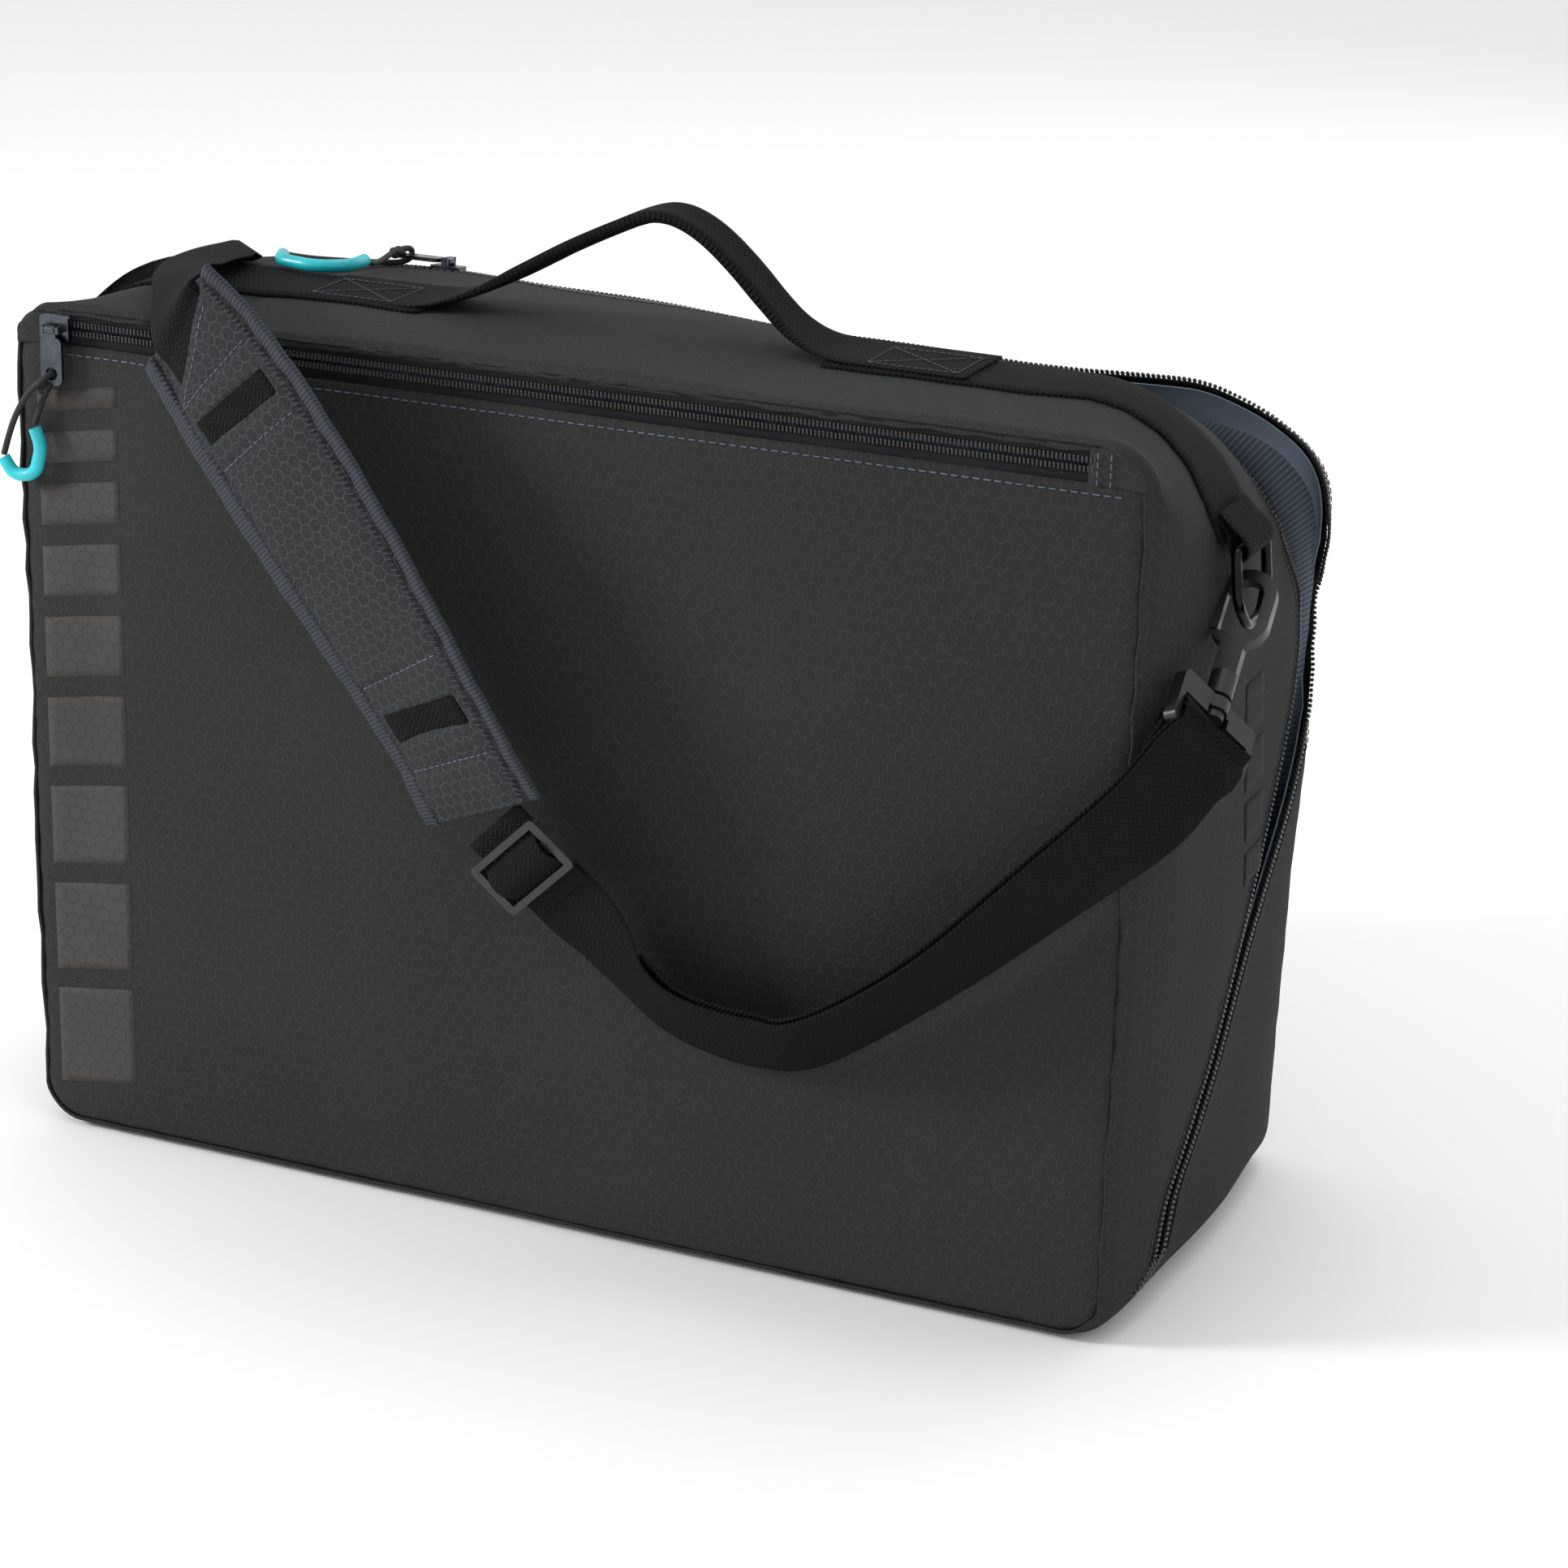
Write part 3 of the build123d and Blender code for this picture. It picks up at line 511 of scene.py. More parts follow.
def nurbs_tube(name, points, radius, material):
    curve = bpy.data.curves.new(name, "CURVE")
    curve.dimensions = "3D"
    curve.bevel_depth = radius
    curve.bevel_resolution = 4
    curve.use_fill_caps = True
    line = curve.splines.new("NURBS")
    line.points.add(len(points) - 1)
    for point, place in zip(line.points, points):
        point.co = (*place, 1.0)
    line.order_u = 3
    line.use_endpoint_u = True
    line.resolution_u = 12
    curve.materials.append(material)
    obj = bpy.data.objects.new(name, curve)
    bpy.context.scene.collection.objects.link(obj)
    return obj


KNOT_TURNS, CORD_SIDES = 72, 8


def knot(name, centre, axis, size, body):
    """An overhand knot: a small trefoil of the same cord pulled tight."""
    turns = np.linspace(0, 2 * math.pi, KNOT_TURNS, endpoint=False)
    x = np.sin(turns) + 2 * np.sin(2 * turns)
    y = 1.15 * (np.cos(turns) - 2 * np.cos(2 * turns))
    z = -0.9 * np.sin(3 * turns)
    along = unit(np.array(axis, float))
    side = unit(np.cross(along, [0.3, 0.9, 0.1]))
    third = np.cross(along, side)
    middle = np.array(centre) + (side * x[:, None] + along * y[:, None] + third * z[:, None]) * size
    ahead = unit(np.roll(middle, -1, axis=0) - np.roll(middle, 1, axis=0))
    out = unit(np.cross(ahead, along + 1e-3))
    over = np.cross(ahead, out)
    ring = np.linspace(0, 2 * math.pi, CORD_SIDES, endpoint=False)[:, None]
    radius = CORD_DIAMETER / 2 / MM
    tube = middle[:, None] + (out[:, None] * np.cos(ring) + over[:, None] * np.sin(ring)) * radius
    faces = [
        tuple(k % (KNOT_TURNS * CORD_SIDES) for k in face)
        for face in grid_faces(KNOT_TURNS + 1, CORD_SIDES, closed=True)
    ]
    obj = new_mesh(name, tube.reshape(-1, 3), faces, CORD)
    assign(obj, "cord", body=body)
    return obj


def pull(prefix, route, length, knot_at, knot_axis):
    """A pull's cord and its knot, on the body with the pull's name."""
    line = nurbs_tube(f"{prefix}_cord_line", route, CORD_DIAMETER / 2, CORD)
    assign(line, "cord", f"{prefix}_cord", body=prefix)
    tied = knot(f"{prefix}_knot_1", knot_at, knot_axis, 0.85, prefix)
    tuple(route[0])


pull("pocket_pull", POCKET_CORD, POCKET_CORD_LENGTH, (-216.5, -105.6, 318.5), (0.35, 0, 1))
pull("main_pull", MAIN_CORD, MAIN_CORD_LENGTH, (-147.5, 54, 349.5), (0.3, 1, 0))


# ---- the bag's outer surface ----
# The gusset runs round the outline. u counts 0 bottom, 1 corner, 2 right, 3 corner, 4 top, 5 corner,
# 6 left, 7 corner; y runs from the front seam to the back seam.
FRONT_Y, BACK_Y = -99.0, 98.0
MEASURED_Y = -40.0  # the cloth's length round the bag, for its pattern, is measured here
MIDDLE, IN_PLANE = np.array([0, 0, 170.0]), np.array([1, 0, 1])


def ease(t):
    """0 to 1, with the steps crowded at both ends."""
    return 0.5 - 0.5 * np.cos(t * math.pi)


def arch(share):
    """0 at a share of 0 and of 1, and 1 in the middle."""
    return np.sin(np.clip(share, 0, 1) * math.pi)


right_x = smooth_curve([
    (-99, 233), (-92, 236), (-60, 242), (0, 245), (60, 244.5), (84, 243), (92, 240.5), (98, 234),
])
left_x = smooth_curve([
    (-99, -233), (-92, -235.5), (-60, -239), (0, -241), (60, -240), (86, -238), (98, -232),
])
top_z = smooth_curve([
    (-99, 347.5), (-93, 350), (-50, 350.5), (-10, 350), (30, 346.5), (62, 342), (78, 335), (90, 322),
    (98, 306),
])
low_z = smooth_curve([(-99, 3), (-90, 0.6), (-70, 0.4), (70, 0.4), (90, 0.6), (98, 3)])
top_right = smooth_curve([(-99, 13), (-88, 28), (-72, 44), (-46, 56), (0, 64), (60, 60), (98, 42)])
top_left = smooth_curve([(-99, 13), (-88, 27), (-76, 37), (-40, 44), (40, 46), (98, 40)])
base_round = smooth_curve([(-99, 17), (-60, 22), (60, 22), (98, 18)])
flap_push = smooth_curve([(0, 0), (110, 0), (190, 4.5), (290, 6), (345, 0)])  # out, by height


def edges_at(y):
    """Left, right, low and top of the outline at one depth, then its base, right and left radii."""
    return [float(f(y)) for f in (left_x, right_x, low_z, top_z, base_round, top_right, top_left)]


def outline(u, y):
    """Points on the outline at depth y, without folds."""
    u = np.mod(u, 8)
    y = np.asarray(y, float)
    seg = np.minimum(u.astype(int), 7)
    f = u - seg
    right, left, top, low = right_x(y), left_x(y), top_z(y), low_z(y)
    tr, tl, b = top_right(y), top_left(y), base_round(y)
    turn = f * math.pi / 2
    sin, cos = np.sin(turn), np.cos(turn)
    x = np.select(
        [seg == k for k in range(8)],
        [left + b + f * (right - left - 2 * b), right - b + b * sin, right, right - tr + tr * cos,
         right - tr - f * (right - left - tr - tl), left + tl - tl * sin, left, left + b - b * cos],
    )
    z = np.select(
        [seg == k for k in range(8)],
        [low, low + b - b * cos, low + b + f * (top - low - b - tr), top - tr + tr * sin,
         top, top - tl + tl * cos, top - tl - f * (top - low - b - tl), low + b - b * sin],
    )
    return stack(x, y, z)


def folds(y, point):
    """Small slack in the fabric: slow waves, and puckers beside the seams."""
    x, z = point[..., 0], point[..., 2]
    slow = 0.9 * np.sin(0.021 * x + 0.03 * y + 1.3) * np.sin(0.026 * z - 0.017 * y + 0.4)
    slow += 0.5 * np.sin(0.055 * x - 0.04 * z + 0.06 * y)
    run = x * 0.9 + z * 1.1
    near_seam = np.exp(-(y - FRONT_Y) / 8) + np.exp(-(BACK_Y - y) / 8)
    pucker = np.sin(run / 2.9 + 1.7 * np.sin(run / 23)) * near_seam
    return (slow + 0.6 * pucker) * np.clip(z / 12, 0, 1)  # none on the base


flap_fade = smooth_curve([(60, 1), (86, 1), (93, 0.85), (98, 0)])  # nothing at the back seam
corner_sag = smooth_curve([
    (2.7, 0), (2.85, 2), (3.0, 8), (3.25, 16), (3.5, 21), (3.8, 21.5), (4.0, 19.5), (4.05, 14), (4.12, 9.5),
    (4.35, 6), (4.6, 3), (4.85, 0),
])
depth_sag = smooth_curve([(-30, 0), (0, 0.12), (30, 0.5), (50, 0.86), (64, 1), (98, 1)])
flap_top_sag = smooth_curve([(3.2, 0), (3.5, 3.5), (3.8, 6), (4.1, 6), (4.4, 3.5), (4.8, 0)])


def sag(u, y, flap):
    """How far the fabric beside the open zip hangs inside the plain outline."""
    u = np.mod(u, 8)
    return flap_top_sag(u) * flap_fade(y) if flap else corner_sag(u) * depth_sag(y)


def surface(u, y, lift=0.0, flap=False):
    """Points lift millimetres outside the gusset."""
    u, y = np.broadcast_arrays(np.asarray(u, float), np.asarray(y, float))
    p = outline(u, y)
    du = outline(u + 0.01, y) - outline(u - 0.01, y)
    dy = outline(u, np.clip(y + 0.5, FRONT_Y, BACK_Y)) - outline(u, np.clip(y - 0.5, FRONT_Y, BACK_Y))
    normal = unit(np.cross(dy, du))
    facing = np.sum(normal * (p - MIDDLE) * IN_PLANE, axis=-1, keepdims=True)
    normal = np.where(facing < 0, -normal, normal)
    push = folds(y, p) + lift - sag(u, y, flap)
    if flap:
        rightness = np.clip((p[..., 0] - 150) / 60, 0, 1)
        push = push + flap_push(p[..., 2]) * rightness * flap_fade(y)
    return p + normal * push[..., None]


ZIP_START_U = 4.885  # on the top, at the zip's stop
ZIP_END_U = 1.70  # at the foot of the right end
ZIP_RUN = (ZIP_END_U, ZIP_START_U)
PLAIN_RUN = (ZIP_START_U, 8 + ZIP_END_U)  # base and left end
front_teeth = smooth_curve([
    (1.70, -74), (2.06, -56), (2.154, -36), (2.255, -13), (2.73, 74), (2.81, 81), (2.87, 81),
    (2.947, 70), (3.0, 62), (3.1, 60), (3.5, 61), (4, 62), (4.78, 61.5), (5, 61),
])
rear_teeth = smooth_curve([
    (1.70, -69), (2.06, -48), (2.154, -26), (2.255, -2), (2.70, 84), (2.80, 91), (2.9, 92),
    (2.97, 86), (3.05, 79), (3.5, 76), (4, 75), (4.70, 71), (4.82, 66), (5, 65),
])
TAPE_SHOWN = 8.0  # width of the zip's tape between its teeth and the cloth
CLOTH_LIMIT_Y = 96.0  # the cloth behind the zip starts no further back than this
FOLD_START, FOLD_UP = Vector((-0.150, 0.100, 0.347)), Vector((0.5288, 0, 0.8487))


def flap_blend(obj):
    """The piece's transform is baked into its mesh."""
    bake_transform(obj)
    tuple(FOLD_START)


BODY_STEPS = (44, 9, 30, 18, 44, 18, 30, 9)  # mesh steps on each stretch of u


def u_steps(a, b, per_unit=BODY_STEPS):
    """Values of u from a to b, with per_unit steps on each stretch."""
    marks = [a]
    while marks[-1] < b - 1e-9:
        seg = int(marks[-1] + 1e-9)
        stop = min(seg + 1, b)
        count = max(2, int(math.ceil((stop - marks[-1]) * per_unit[seg % 8])))
        marks.extend(np.linspace(marks[-1], stop, count + 1)[1:])
    return np.array(marks)


def gusset(name, u0, u1, near, far, rows, material, lift=0.0, thick=1.2, flap=False, crowd=True):
    """A stretch of the gusset from depth near(u) to depth far(u)."""
    us = u_steps(u0, u1)
    t = np.linspace(0, 1, rows)
    if crowd:
        t = ease(t)
    a, b = near(us), far(us)
    ys = a + (b - a) * t[:, None]
    grid = surface(us, ys, lift, flap)
    uvs = stack(distances(surface(us, MEASURED_Y)), ys)
    return sheet_mesh(name, grid[:, ::-1], material, thick, uvs[:, ::-1])


def level(value):
    return lambda us: np.full(len(np.atleast_1d(us)), float(value))


def front_cloth_edge(us):
    return front_teeth(us) - TAPE_SHOWN


def rear_cloth_edge(us):
    return np.minimum(rear_teeth(us) + TAPE_SHOWN, CLOTH_LIMIT_Y)


def make_shell():
    whole = gusset("gusset_base_and_left", *PLAIN_RUN, level(FRONT_Y), level(BACK_Y), 40, SHELL)
    assign(whole, "shell_fabric", "base_panel", "left_end_panel", "base_stiffener")
    front = gusset("gusset_front", *ZIP_RUN, level(FRONT_Y), front_cloth_edge, 32, SHELL)
    assign(front, "shell_fabric", "top_panel", "right_end_panel", "right_end_gusset")
    rear = gusset("gusset_flap", *ZIP_RUN, rear_cloth_edge, level(BACK_Y), 12, SHELL, flap=True)
    flap_blend(rear)
    assign(rear, "shell_fabric", "flap_gusset", body=None)


def panel_grid(y_middle, y_edge, columns, rows, seam_y, z_stop=None):
    """A front or back panel: rows of points inside the outline at the seam, edges turned in to the seam."""
    left, right, low, top, b, tr, tl = edges_at(seam_y)
    s = np.linspace(0, 1, columns)
    x = left + (right - left) * (0.88 * ease(s) + 0.12 * s)  # crowded where the corners' arcs are steep
    from_left, from_right = x - left, right - x

    def lift(distance, radius):
        inside = np.clip(radius - distance, 0, radius)
        return radius - np.sqrt(np.maximum(radius**2 - inside**2, 0))

    bottom = low + np.maximum(lift(from_left, b), lift(from_right, b))
    if z_stop is None:
        upper = top - np.maximum(lift(from_left, tl), lift(from_right, tr))
    else:
        upper = np.full(columns, float(z_stop))
    t = np.linspace(0, 1, rows)
    z = bottom + (upper - bottom) * (0.35 * ease(t) + 0.65 * t)[:, None]
    xx = np.broadcast_to(x, z.shape)
    edge = np.minimum(np.minimum(xx - left, right - xx), z - low)
    if z_stop is None:
        edge = np.minimum(edge, top - z)
    for past in (left + b - xx, xx - right + b):
        corner = np.minimum(np.hypot(np.maximum(past, 0), np.maximum(low + b - z, 0)), b)
        edge = np.where((past > 0) & (z < low + b), np.minimum(edge, b - corner), edge)
    round_in = 1 - np.exp(-np.maximum(edge, 0) / 3.2)
    return stack(xx, y_edge + (y_middle - y_edge) * round_in, z), edge


HEM_Z = 334.8  # folded upper edge of the front panel, below the pocket zip
FRONT_PLANE, BACK_PLANE = -100.2, 100.4


def front_slack(x, z):
    """How far the front panel stands forward of its flat plane."""
    belly = 3.2 * arch((x + 234) / 468) * arch(z / 350)
    waves = 1.3 * np.sin(0.019 * x + 0.011 * z + 0.6) * np.sin(0.015 * z - 0.008 * x + 2.0)
    waves += 0.8 * np.sin(0.034 * x - 0.021 * z + 1.0) * np.clip((z - 20) / 80, 0, 1)
    crease = 1.1 * np.exp(-(((x + 205 - 0.10 * (z - 170)) / 13) ** 2)) * np.clip((z - 60) / 90, 0, 1)
    foot = 1.2 * np.exp(-(((z - 16) / 13) ** 2)) * np.sin(x / 37 + 0.5)
    return belly + waves - crease + foot


def front_point(x, z, lift=0.0):
    """A point on the front panel, lift millimetres in front of it, away from its edges."""
    return stack(x, FRONT_PLANE - front_slack(x, z) * edge_fade(x, z) - lift, z)


def edge_fade(x, z):
    """0 at the panel's edges, 1 well inside."""
    side = np.clip((233 - np.abs(x)) / 30, 0, 1)
    foot = np.clip((z - 3) / 26, 0, 1)
    head = np.clip((HEM_Z + 8 - z) / 30, 0, 1)
    return np.sqrt(side * foot * head)


def make_front():
    grid, edge = panel_grid(FRONT_PLANE, -97.0, 110, 84, FRONT_Y, z_stop=HEM_Z)
    x, z = grid[..., 0], grid[..., 2]
    grid[..., 1] -= front_slack(x, z) * edge_fade(x, z)
    pucker = np.sin((x * 0.8 + z) / 2.6 + 1.4 * np.sin((x * 0.8 + z) / 21))
    grid[..., 1] += 0.3 * np.exp(-np.maximum(edge, 0) / 6) * pucker
    grid[..., 1] += 0.9 * np.exp(-(HEM_Z - z) / 2.2) * (np.abs(x) < 232)  # the hem is folded in
    panel = sheet_mesh("front_pocket_panel", grid, FRONT, 1.0, stack(x, z))
    assign(panel, "front_fabric", "front_panel")


def make_back():
    grid, edge = panel_grid(BACK_PLANE, BACK_Y, 90, 70, BACK_Y)
    x, z = grid[..., 0], grid[..., 2]
    slack = 2.0 * arch((x + 234) / 468) * arch(z / 310)
    slack += 0.9 * np.sin(0.02 * x + 0.013 * z) * np.sin(0.017 * z + 0.3)
    grid[..., 1] += slack * np.clip(edge / 30, 0, 1)
    panel = sheet_mesh("back_panel_cloth", grid[:, ::-1], SHELL, 1.0, stack(x, z)[:, ::-1])
    flap_blend(panel)
    assign(panel, "shell_fabric", "back_panel", "flap_back_panel", body=None)


make_shell()
make_front()
make_back()


# ---- lining ----
LINING_IN = 3.0  # inside the shell
DIVIDER_Y, LINING_BACK_Y = -89.5, 95.5
SEAM_TAPE_IN = 7.0  # how far the tape over the lining's back seam reaches onto the back
SIDE_SHRINK, BACK_SHRINK = 0.985, 0.975  # the lining's back against the shell, in width and in height


def seam_tape(name, u0, u1, flap):
    """Ribbed tape bound over the seam between the lining's gusset and its back."""
    us = u_steps(u0, u1)
    outer = surface(us, np.full(len(us), LINING_BACK_Y - 3.0), 0.4 - LINING_IN, flap)
    seam = outline(us, np.full(len(us), LINING_BACK_Y)) * (SIDE_SHRINK, 1, BACK_SHRINK) + (0, 0, 3)
    inner = seam + unit((MIDDLE - seam) * IN_PLANE) * SEAM_TAPE_IN - (0, 1.2, 0)
    t = np.linspace(0, 1, 6)[:, None, None]
    tape = outer + (inner - outer) * t - np.array([0, 2.0, 0]) * np.sin(t * math.pi)
    uvs = stack(t[..., 0] * 12, distances(outer))
    obj = sheet_mesh(name, tape[:, ::-1], SEAM_TAPE, 0.5, uvs[:, ::-1], offset=0.0)
    flap_blend(obj)
    return obj


def lining_panel(name, y, columns, rows, wave, wave_x, wave_z, shrink):
    """A flat panel of the lining: waves of the given size, and its height against the shell's."""
    grid, _ = panel_grid(y, y, columns, rows, y)
    x, z = grid[..., 0], grid[..., 2]
    slack = wave * np.sin(x / wave_x) * np.sin(z / wave_z)
    grid = stack(x * SIDE_SHRINK, grid[..., 1] + slack, 3 + z * shrink)
    return sheet_mesh(name, grid, LINING, 0.5, grid[..., ::2])


def make_lining():
    inside = {"lift": -LINING_IN, "thick": 0.5}
    base = gusset(
        "lining_base_and_left", *PLAIN_RUN, level(DIVIDER_Y), level(LINING_BACK_Y), 20, LINING, **inside,
    )
    assign(base, "lining", "main_lining")
    front = gusset(
        "lining_front", *ZIP_RUN, level(DIVIDER_Y), lambda u: front_teeth(u) - 3, 18, LINING, **inside,
    )
    assign(front, "lining")
    divider = lining_panel("lining_divider", DIVIDER_Y, 50, 40, 1.5, 31, 43, 0.978)
    assign(divider, "lining", "pocket_divider")
    flap = gusset(
        "lining_flap", *ZIP_RUN, lambda u: np.minimum(rear_teeth(u) + 3, 94), level(LINING_BACK_Y), 10,
        LINING, flap=True, **inside,
    )
    flap_blend(flap)
    assign(flap, "lining", "flap_lining", body=None)
    back = lining_panel("lining_back", LINING_BACK_Y, 60, 50, 1.0, 37, 53, BACK_SHRINK)
    flap_blend(back)
    assign(back, "lining", body=None)
    flap_tape = seam_tape("lining_seam_tape_flap", *ZIP_RUN, True)
    assign(flap_tape, "lining", "flap_seam_binding", body=None)
    bag_tape = seam_tape("lining_seam_tape_bag", *PLAIN_RUN, False)
    assign(bag_tape, "lining", "rear_seam_binding", body=None)


make_lining()


# ---- zips ----
ZIP_STEPS = (60, 14, 70, 40, 90, 14, 60, 14)


def surface_line(us, ys, lift, flap):
    """A line on the gusset and its outward normals."""
    line = surface(us, ys, lift, flap)
    return line, unit(surface(us, ys, lift + 1, flap) - line)


def main_zip_side(name, teeth, way, flap, tape_node, coil_node):
    """One tape of the main zip with its teeth and the stitches beside it; way is +1 or -1 along Y."""
    us = u_steps(*ZIP_RUN, ZIP_STEPS)
    tape = gusset(
        f"{name}_tape", *ZIP_RUN, lambda u: np.minimum(teeth(u) + way * 0.6, 96.5),
        lambda u: np.minimum(teeth(u) + way * (TAPE_SHOWN + 3), 97.3), 5, TAPE, lift=-0.9, thick=0.6,
        flap=flap, crowd=False,
    )
    line, normals = surface_line(us, teeth(us) + way * 1.2, -0.1, flap)
    coil = beads(f"{name}_teeth", line, normals, MAIN_TOOTH, COIL, ACROSS)
    line, normals = surface_line(us, np.minimum(teeth(us) + way * TAPE_SHOWN, CLOTH_LIMIT_Y), 0.25, flap)
    stitches = beads(f"{name}_edge_stitches", line, normals, ZIP_STITCH, DARK_THREAD)
    for obj, slot, replaced in (
        (tape, "zip_tape", [tape_node]), (coil, "zip_coil", [coil_node]), (stitches, "shell_fabric", []),
    ):
        if flap:
            flap_blend(obj)
        assign(obj, slot, *replaced, body=None if flap else "bag")


main_zip_side("main_zip_front", front_teeth, -1, False, "main_tape_front", "main_coil_front")
main_zip_side("main_zip_flap", rear_teeth, 1, True, "main_tape_flap", "main_coil_flap")

COIL_Z, COIL_ROW = 341.3, 1.75  # height of the pocket's coil, and of each row of teeth from there
ZIP_WINDOW_X = 211.0  # half the length of the pocket zip's window
HEADER_Z = 346.2  # upper edge of the window
STRIP_Y, TAPE_Y, COIL_Y, STITCH_Y = -99.6, -98.4, -99.1, -100.4
END_STITCHES_X = (214.5, 219.5, -214.5)
FORWARD = (0.0, -1.0, 0.0)


def pocket_strip(name, xs, low_z_at):
    """A piece of the strip above or beside the pocket zip, up to the seam's outline."""
    left, right, _, top, _, tr, tl = edges_at(FRONT_Y)
    drop_l = np.clip(left + tl - xs, 0, tl)
    drop_r = np.clip(xs - right + tr, 0, tr)
    upper = top - (tl - np.sqrt(tl**2 - drop_l**2)) - (tr - np.sqrt(tr**2 - drop_r**2))
    low = np.minimum(low_z_at, upper - 0.4)
    z = low + (upper - low) * np.linspace(0, 1, 9)[:, None]
    below, above = upper - z, z - low
    y = STRIP_Y + 1.0 * np.exp(-below / 2.0) + 0.5 * np.exp(-above / 0.9)
    y -= 0.35 * np.sin(xs / 3.1 + np.sin(xs / 17)) * np.exp(-below / 4)
    return sheet_mesh(name, stack(xs, y, z), FRONT, 1.0, stack(xs, z))


def pocket_zip():
    t = np.linspace(0, 1, 36)
    left, right = left_x(FRONT_Y) + 0.3, right_x(FRONT_Y) - 0.3
    crowding = 1.8  # towards the outer end, where the corner's arc is steep
    window = np.linspace(-ZIP_WINDOW_X, ZIP_WINDOW_X, 140)
    assign(pocket_strip("pocket_header", window, HEADER_Z), "front_fabric")
    for side, xs in (
        ("left", left + (-ZIP_WINDOW_X - left) * t**crowding),
        ("right", ZIP_WINDOW_X + (right - ZIP_WINDOW_X) * t ** (1 / crowding)),
    ):
        strip = pocket_strip(f"pocket_end_{side}", xs, HEM_Z - 1.5)
        assign(strip, "front_fabric", f"pocket_zip_end_{side}")
    xs = np.linspace(-ZIP_WINDOW_X - 3, ZIP_WINDOW_X + 3, 120)
    for name, z0, z1, node in (
        ("pocket_tape_low", HEM_Z - 3, COIL_Z - COIL_ROW, "pocket_tape_lower"),
        ("pocket_tape_high", COIL_Z + COIL_ROW, HEADER_Z + 2, "pocket_tape_upper"),
    ):
        x, z = np.meshgrid(xs, np.linspace(z0, z1, 5))
        grid = stack(x, TAPE_Y + 0.25 * np.sin(x / 9 + z0), z)
        assign(sheet_mesh(name, grid, TAPE, 0.6, grid[..., ::-2]), "zip_tape", node)
    half_pitch = POCKET_TOOTH[2] / 2
    lines = (stack(xs, COIL_Y, COIL_Z - COIL_ROW), stack(xs + half_pitch, COIL_Y, COIL_Z + COIL_ROW))
    rows = [beads("row", line, FORWARD, POCKET_TOOTH, COIL, ACROSS) for line in lines]
    assign(joined("pocket_zip_teeth", rows), "zip_coil", "pocket_coil")
    xs = np.linspace(-222, 226, 200)
    line = front_point(xs, HEM_Z - 3.6, 0.1)
    line[:, 1] = np.minimum(line[:, 1], STITCH_Y)
    rows = [beads("row", line, FORWARD, POCKET_STITCH, THREAD)]
    zs = np.linspace(HEM_Z - 1, HEADER_Z + 0.6, 12)
    for x in END_STITCHES_X:
        rows.append(beads("row", stack(x, STITCH_Y, zs), FORWARD, POCKET_END_STITCH, THREAD))
    assign(joined("pocket_stitches", rows), "front_fabric")


pocket_zip()


# ---- webbing bands, ring loops and handle ----
BAND_FRONT, BAND_BACK, BAND_MIDDLE = -48.0, -3.0, -25.5
BAND_LIFT, BAND_THICK = 1.7, 1.5
BAND_STEPS = (20, 12, 60, 30, 60, 30, 60, 12)
RIGHT_BAND_U = (3.10, 4.2625)  # from above the right ring to the handle
LEFT_BAND_U = (4.706, 6.31)  # from the handle to above the left ring
LOOP_FRONT, LOOP_BACK = -41.0, -10.0


def band_sheet(name, u0, u1, narrow_at, node):
    """Webbing sewn round the gusset, narrowing to its ring loop at narrow_at."""
    us = u_steps(u0, u1, BAND_STEPS)
    near_loop = np.exp(-((np.abs(us - narrow_at) / 0.11) ** 2))
    wave = 0.5 * np.sin(us * 37) + 0.4 * np.sin(us * 83 + 1)
    front = BAND_FRONT + (LOOP_FRONT - BAND_FRONT) * near_loop + wave
    back = BAND_BACK + (LOOP_BACK - BAND_BACK) * near_loop + wave * 0.6
    t = np.linspace(0, 1, 9)[:, None]
    ys = front + (back - front) * t
    edge_curl = 0.4 * np.exp(-((1 - np.abs(2 * t - 1)) / 0.09))
    grid = surface(us, ys, BAND_LIFT - edge_curl)
    uvs = stack(ys, distances(grid[4]))
    assign(sheet_mesh(name, grid[:, ::-1], WEB, BAND_THICK, uvs[:, ::-1]), "webbing", node)


STRAP_PROFILE = (-1, -0.97, -0.75, -0.4, 0, 0.4, 0.75, 0.97, 1)


def strap_loft(name, line, across, out, half, deep, edge, material, cup=0.0):
    """A flat strap round its middle line. edge thins the profile's last point but one, and its last."""
    front = [(a, 1 if abs(a) < 0.9 else edge[0] if abs(a) < 0.99 else edge[1]) for a in STRAP_PROFILE]
    ring = front + [(a, -b) for a, b in front[::-1]]
    run = distances(line)
    sections, uvs = [], []
    for a, b in ring:
        rise = b * deep + cup * (1 - a * a)
        sections.append(line + across * (a * half)[:, None] + out * rise[:, None])
        uvs.append(stack(a * half, run))
    return loft(name, np.stack(sections, axis=1), material, np.stack(uvs, axis=1))


def ribbon(name, line, across, width, thick, material, cup=0.0, out=None):
    """A strap of the given width and thickness, numbers or arrays with one value for each point."""
    ahead = tangents(line)
    across = squared(across, ahead)
    if out is None:
        out = np.cross(across, ahead)
    half, deep = (np.broadcast_to(np.asarray(v, float) / 2, (len(line),)) for v in (width, thick))
    return strap_loft(name, line, across, out, half, deep, (0.75, 0.2), material, cup)


